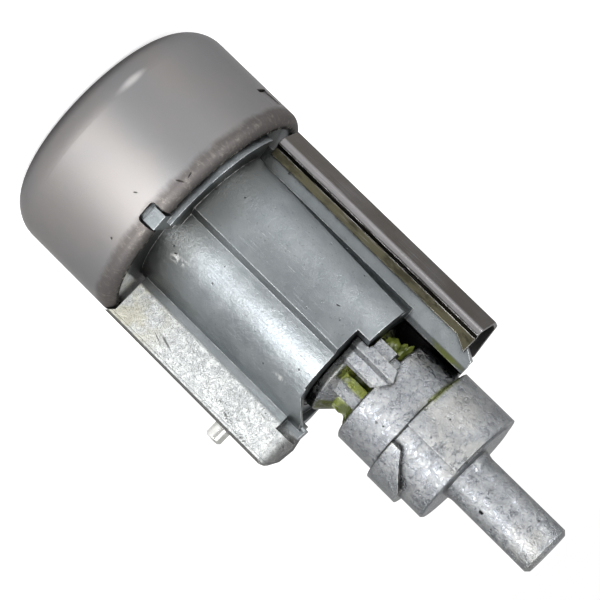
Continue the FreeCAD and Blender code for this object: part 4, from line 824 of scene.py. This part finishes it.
def makeGreaseCollar():
    look = greaseCollar
    mesh = bpy.data.meshes.new("greaseCollar")
    shape = bmesh.new()
    rings = []
    for step in range(look["steps"]):
        angle = 2 * math.pi * step / look["steps"]
        wave = look["wave"] * roundNoise(angle, *look["waveAt"])
        full = max(look["least"], look["full"] + wave + look["quick"] * roundNoise(angle, *look["quickAt"]))
        ring = [shape.verts.new(ringPlace(angle, look["neck"] - look["sink"], look["front"] + look["sink"]))]
        for part in range(look["ring"] + 1):
            turn = math.pi / 2 * part / look["ring"]
            bulge = 1 - look["hollow"] * math.sin(2 * turn)
            bulge *= 1 + look["lump"] * roundNoise(angle, look["lumpSpread"], part * look["lumpStep"])
            radius = look["neck"] + look["out"] * full * math.sin(turn) * bulge
            height = look["front"] - look["up"] * full * math.cos(turn) * bulge
            ring.append(shape.verts.new(ringPlace(angle, radius, height)))
        rings.append(ring)
    for here, there in zip(rings, rings[1:] + rings[:1]):
        for first in range(len(here)):
            last = (first + 1) % len(here)
            shape.faces.new((here[first], here[last], there[last], there[first]))
    bmesh.ops.recalc_face_normals(shape, faces=shape.faces)
    shape.to_mesh(mesh)
    shape.free()
    return addPiece("greaseCollar", mesh, "rotor", "grease")


greaseSmears = {
    # angle in degrees and height of the middle, the surface's radius, half turn and half length, thickness
    "greaseNeckLeft": (2, 49.9, 5.6, 20, 2.7, 0.6),
    "greaseNeckRight": (66, 50.2, 5.7, 24, 2.6, 0.7),
    "greaseNeckFar": (-48, 50.6, 5.6, 30, 2.5, 1.5),
    "greaseCorner": (-56, 52.1, 6.4, 22, 1.0, 1.3),
    "greaseSeam": (-36, 59.6, 8.27, 20, 0.3, 0.08),
    "greaseNeckBack": (170, 50.6, 5.6, 34, 2.1, 0.35),
}
smearShape = {
    "rings": 9, "spokes": 40, "seedStep": 0.37, "wander": 0.35, "wanderSpread": 1.7, "lump": 0.5,
    "lumpSpread": 3, "lumpSeed": 5, "roundness": 0.6, "foot": 0.15 * mm, "sink": 0.02 * mm,
}


def makeSmear(name):
    middle, height, radius, halfTurn, halfLength, thick = greaseSmears[name]
    look = smearShape
    mesh = bpy.data.meshes.new(name)
    shape = bmesh.new()
    seed = sum(ord(letter) for letter in name) * look["seedStep"]

    def put(spoke, ring, onTop):
        angle = 2 * math.pi * spoke / look["spokes"]
        far = ring / look["rings"]
        spread = look["wanderSpread"]
        edgeAt = Vector((math.cos(angle) * spread, math.sin(angle) * spread, seed))
        reach = far * (1 + look["wander"] * noise.noise(edgeAt))
        across = math.cos(angle) * reach
        along = math.sin(angle) * reach
        rise = -look["foot"]
        if onTop:
            bumps = Vector((across * look["lumpSpread"], along * look["lumpSpread"], seed + look["lumpSeed"]))
            full = (1 - far ** 2) ** look["roundness"]
            rise = thick * mm * full * (1 + look["lump"] * noise.noise(bumps))
        turn = math.radians(middle + across * halfTurn)
        return shape.verts.new(
            ringPlace(turn, radius * mm + rise - look["sink"], (height + along * halfLength) * mm))

    tops = [[put(spoke, ring, True) for spoke in range(look["spokes"])]
            for ring in range(1, look["rings"] + 1)]
    centre = put(0, 0, True)
    for spoke in range(look["spokes"]):
        after = (spoke + 1) % look["spokes"]
        shape.faces.new((centre, tops[0][spoke], tops[0][after]))
        for inner, outer in zip(tops, tops[1:]):
            shape.faces.new((inner[spoke], outer[spoke], outer[after], inner[after]))
    under = put(0, 0, False)
    for spoke in range(look["spokes"]):
        after = (spoke + 1) % look["spokes"]
        shape.faces.new((under, tops[-1][after], tops[-1][spoke]))
    bmesh.ops.recalc_face_normals(shape, faces=shape.faces)
    shape.to_mesh(mesh)
    shape.free()
    return addPiece(name, mesh, "rotor", "grease")


makeGreaseCollar()
for name in greaseSmears:
    makeSmear(name)
print("grease laid")


# Camera: where the photograph was taken from, turned so that the cap is at the upper left

cameraLook = {
    "place": (-0.00096674, -0.31228421, 0.09426902), "right": (-0.70060108, 0.12915824, 0.70176653),
    "up": (-0.71355317, -0.12681382, -0.6890284), "lens": 144.0, "sensor": 36.0, "near": 0.01, "far": 20,
}


def makeCamera():
    camera = bpy.data.cameras.new("camera")
    camera.lens = cameraLook["lens"]
    camera.sensor_width = cameraLook["sensor"]
    camera.clip_start = cameraLook["near"]
    camera.clip_end = cameraLook["far"]
    holder = bpy.data.objects.new("camera", camera)
    bpy.context.scene.collection.objects.link(holder)
    right = Vector(cameraLook["right"]).normalized()
    up = Vector(cameraLook["up"])
    up = (up - right * up.dot(right)).normalized()
    turned = Matrix((right, up, right.cross(up))).transposed().to_4x4()
    holder.matrix_world = Matrix.Translation(Vector(cameraLook["place"])) @ turned
    bpy.context.scene.camera = holder
    return holder


makeCamera()

# Studio: a pale floor, white round it, soft boxes on both sides and above, a strip close to the
# barrel and a box that lights only the cap

studio = {
    "floorRadius": 2.5, "floorColour": (0.82, 0.82, 0.82, 1), "floorDrop": 0.02 * mm, "floorSides": 96,
    "floorGlow": 0.6, "floorMirrored": 0.42, "worldLight": 0.62,
    "lamps": {
        "softBoxRib": {"place": (0.308, -0.342, 0.19), "size": (0.14, 0.28), "power": 1.0,
                       "aim": (0, 0, 0.042)},
        "softBoxCover": {"place": (-0.362, -0.283, 0.20), "size": (0.11, 0.26), "power": 1.9,
                         "aim": (0, 0, 0.042)},
        "nearStrip": {"place": (0.100, -0.111, 0.065), "size": (0.045, 0.12), "power": 0.23,
                      "aim": (0, 0, 0.06)},
        "softBoxTop": {"place": (0.061, -0.345, 0.45), "size": (0.3, 0.3), "power": 0.9,
                       "aim": (0, 0, 0.042)},
        "capBox": {"place": (0.045, -0.155, 0.030), "size": (0.09, 0.06), "power": 0.34,
                   "aim": (0, 0, 0.008), "only": "cap"},
    },
}


def whiteFor(tree):
    # 1 for what the camera sees straight, in a reflection or through glass
    rays = place(tree, "ShaderNodeLightPath").outputs
    seen = calc(tree, "ADD", rays["Is Camera Ray"], rays["Is Glossy Ray"], True)
    return calc(tree, "ADD", seen, rays["Is Transmission Ray"], True)


def makeFloor():
    mesh = bpy.data.meshes.new("floor")
    shape = bmesh.new()
    bmesh.ops.create_circle(shape, cap_ends=True, segments=studio["floorSides"], radius=studio["floorRadius"])
    shape.to_mesh(mesh)
    shape.free()
    floor = bpy.data.objects.new("floor", mesh)
    bpy.context.scene.collection.objects.link(floor)
    floor.location.z = boxAtLoad[0].z - studio["floorDrop"]
    material = bpy.data.materials.new("floorPaper")
    material.use_nodes = True
    tree = material.node_tree
    tree.nodes.clear()
    paper = place(tree, "ShaderNodeBsdfDiffuse")
    paper.inputs["Color"].default_value = studio["floorColour"]
    glow = place(tree, "ShaderNodeEmission")
    mirrored = place(tree, "ShaderNodeLightPath").outputs["Is Glossy Ray"]
    level = between(tree, mirrored, 0.0, 1.0, studio["floorGlow"], studio["floorMirrored"])
    feed(tree, glow.inputs["Strength"], calc(tree, "MULTIPLY", whiteFor(tree), level))
    both = place(tree, "ShaderNodeAddShader")
    feed(tree, both.inputs[0], paper.outputs[0])
    feed(tree, both.inputs[1], glow.outputs[0])
    feed(tree, place(tree, "ShaderNodeOutputMaterial").inputs["Surface"], both.outputs[0])
    mesh.materials.append(material)


def makeWorld():
    world = bpy.data.worlds.new("studio")
    world.use_nodes = True
    tree = world.node_tree
    light = tree.nodes["Background"]
    light.inputs["Color"].default_value = (1, 1, 1, 1)
    white = whiteFor(tree)
    unseen = calc(tree, "SUBTRACT", 1.0, white)
    level = calc(tree, "ADD", white, calc(tree, "MULTIPLY", unseen, studio["worldLight"]))
    feed(tree, light.inputs["Strength"], level)
    bpy.context.scene.world = world


def makeLamp(name, look):
    lamp = bpy.data.lights.new(name, "AREA")
    lamp.shape = "RECTANGLE"
    lamp.size, lamp.size_y = look["size"]
    lamp.energy = look["power"]
    holder = bpy.data.objects.new(name, lamp)
    bpy.context.scene.collection.objects.link(holder)
    holder.location = look["place"]
    aim = Vector(look["aim"]) - Vector(look["place"])
    holder.rotation_mode = "QUATERNION"
    holder.rotation_quaternion = aim.to_track_quat("-Z", "Y")
    if "only" in look:
        lit = bpy.data.collections.new(name + "Lights")
        lit.objects.link(nodes[look["only"]])
        holder.light_linking.receiver_collection = lit


makeFloor()
makeWorld()
for name, look in studio["lamps"].items():
    makeLamp(name, look)
bpy.context.scene.view_settings.view_transform = "Standard"
print("studio lit")
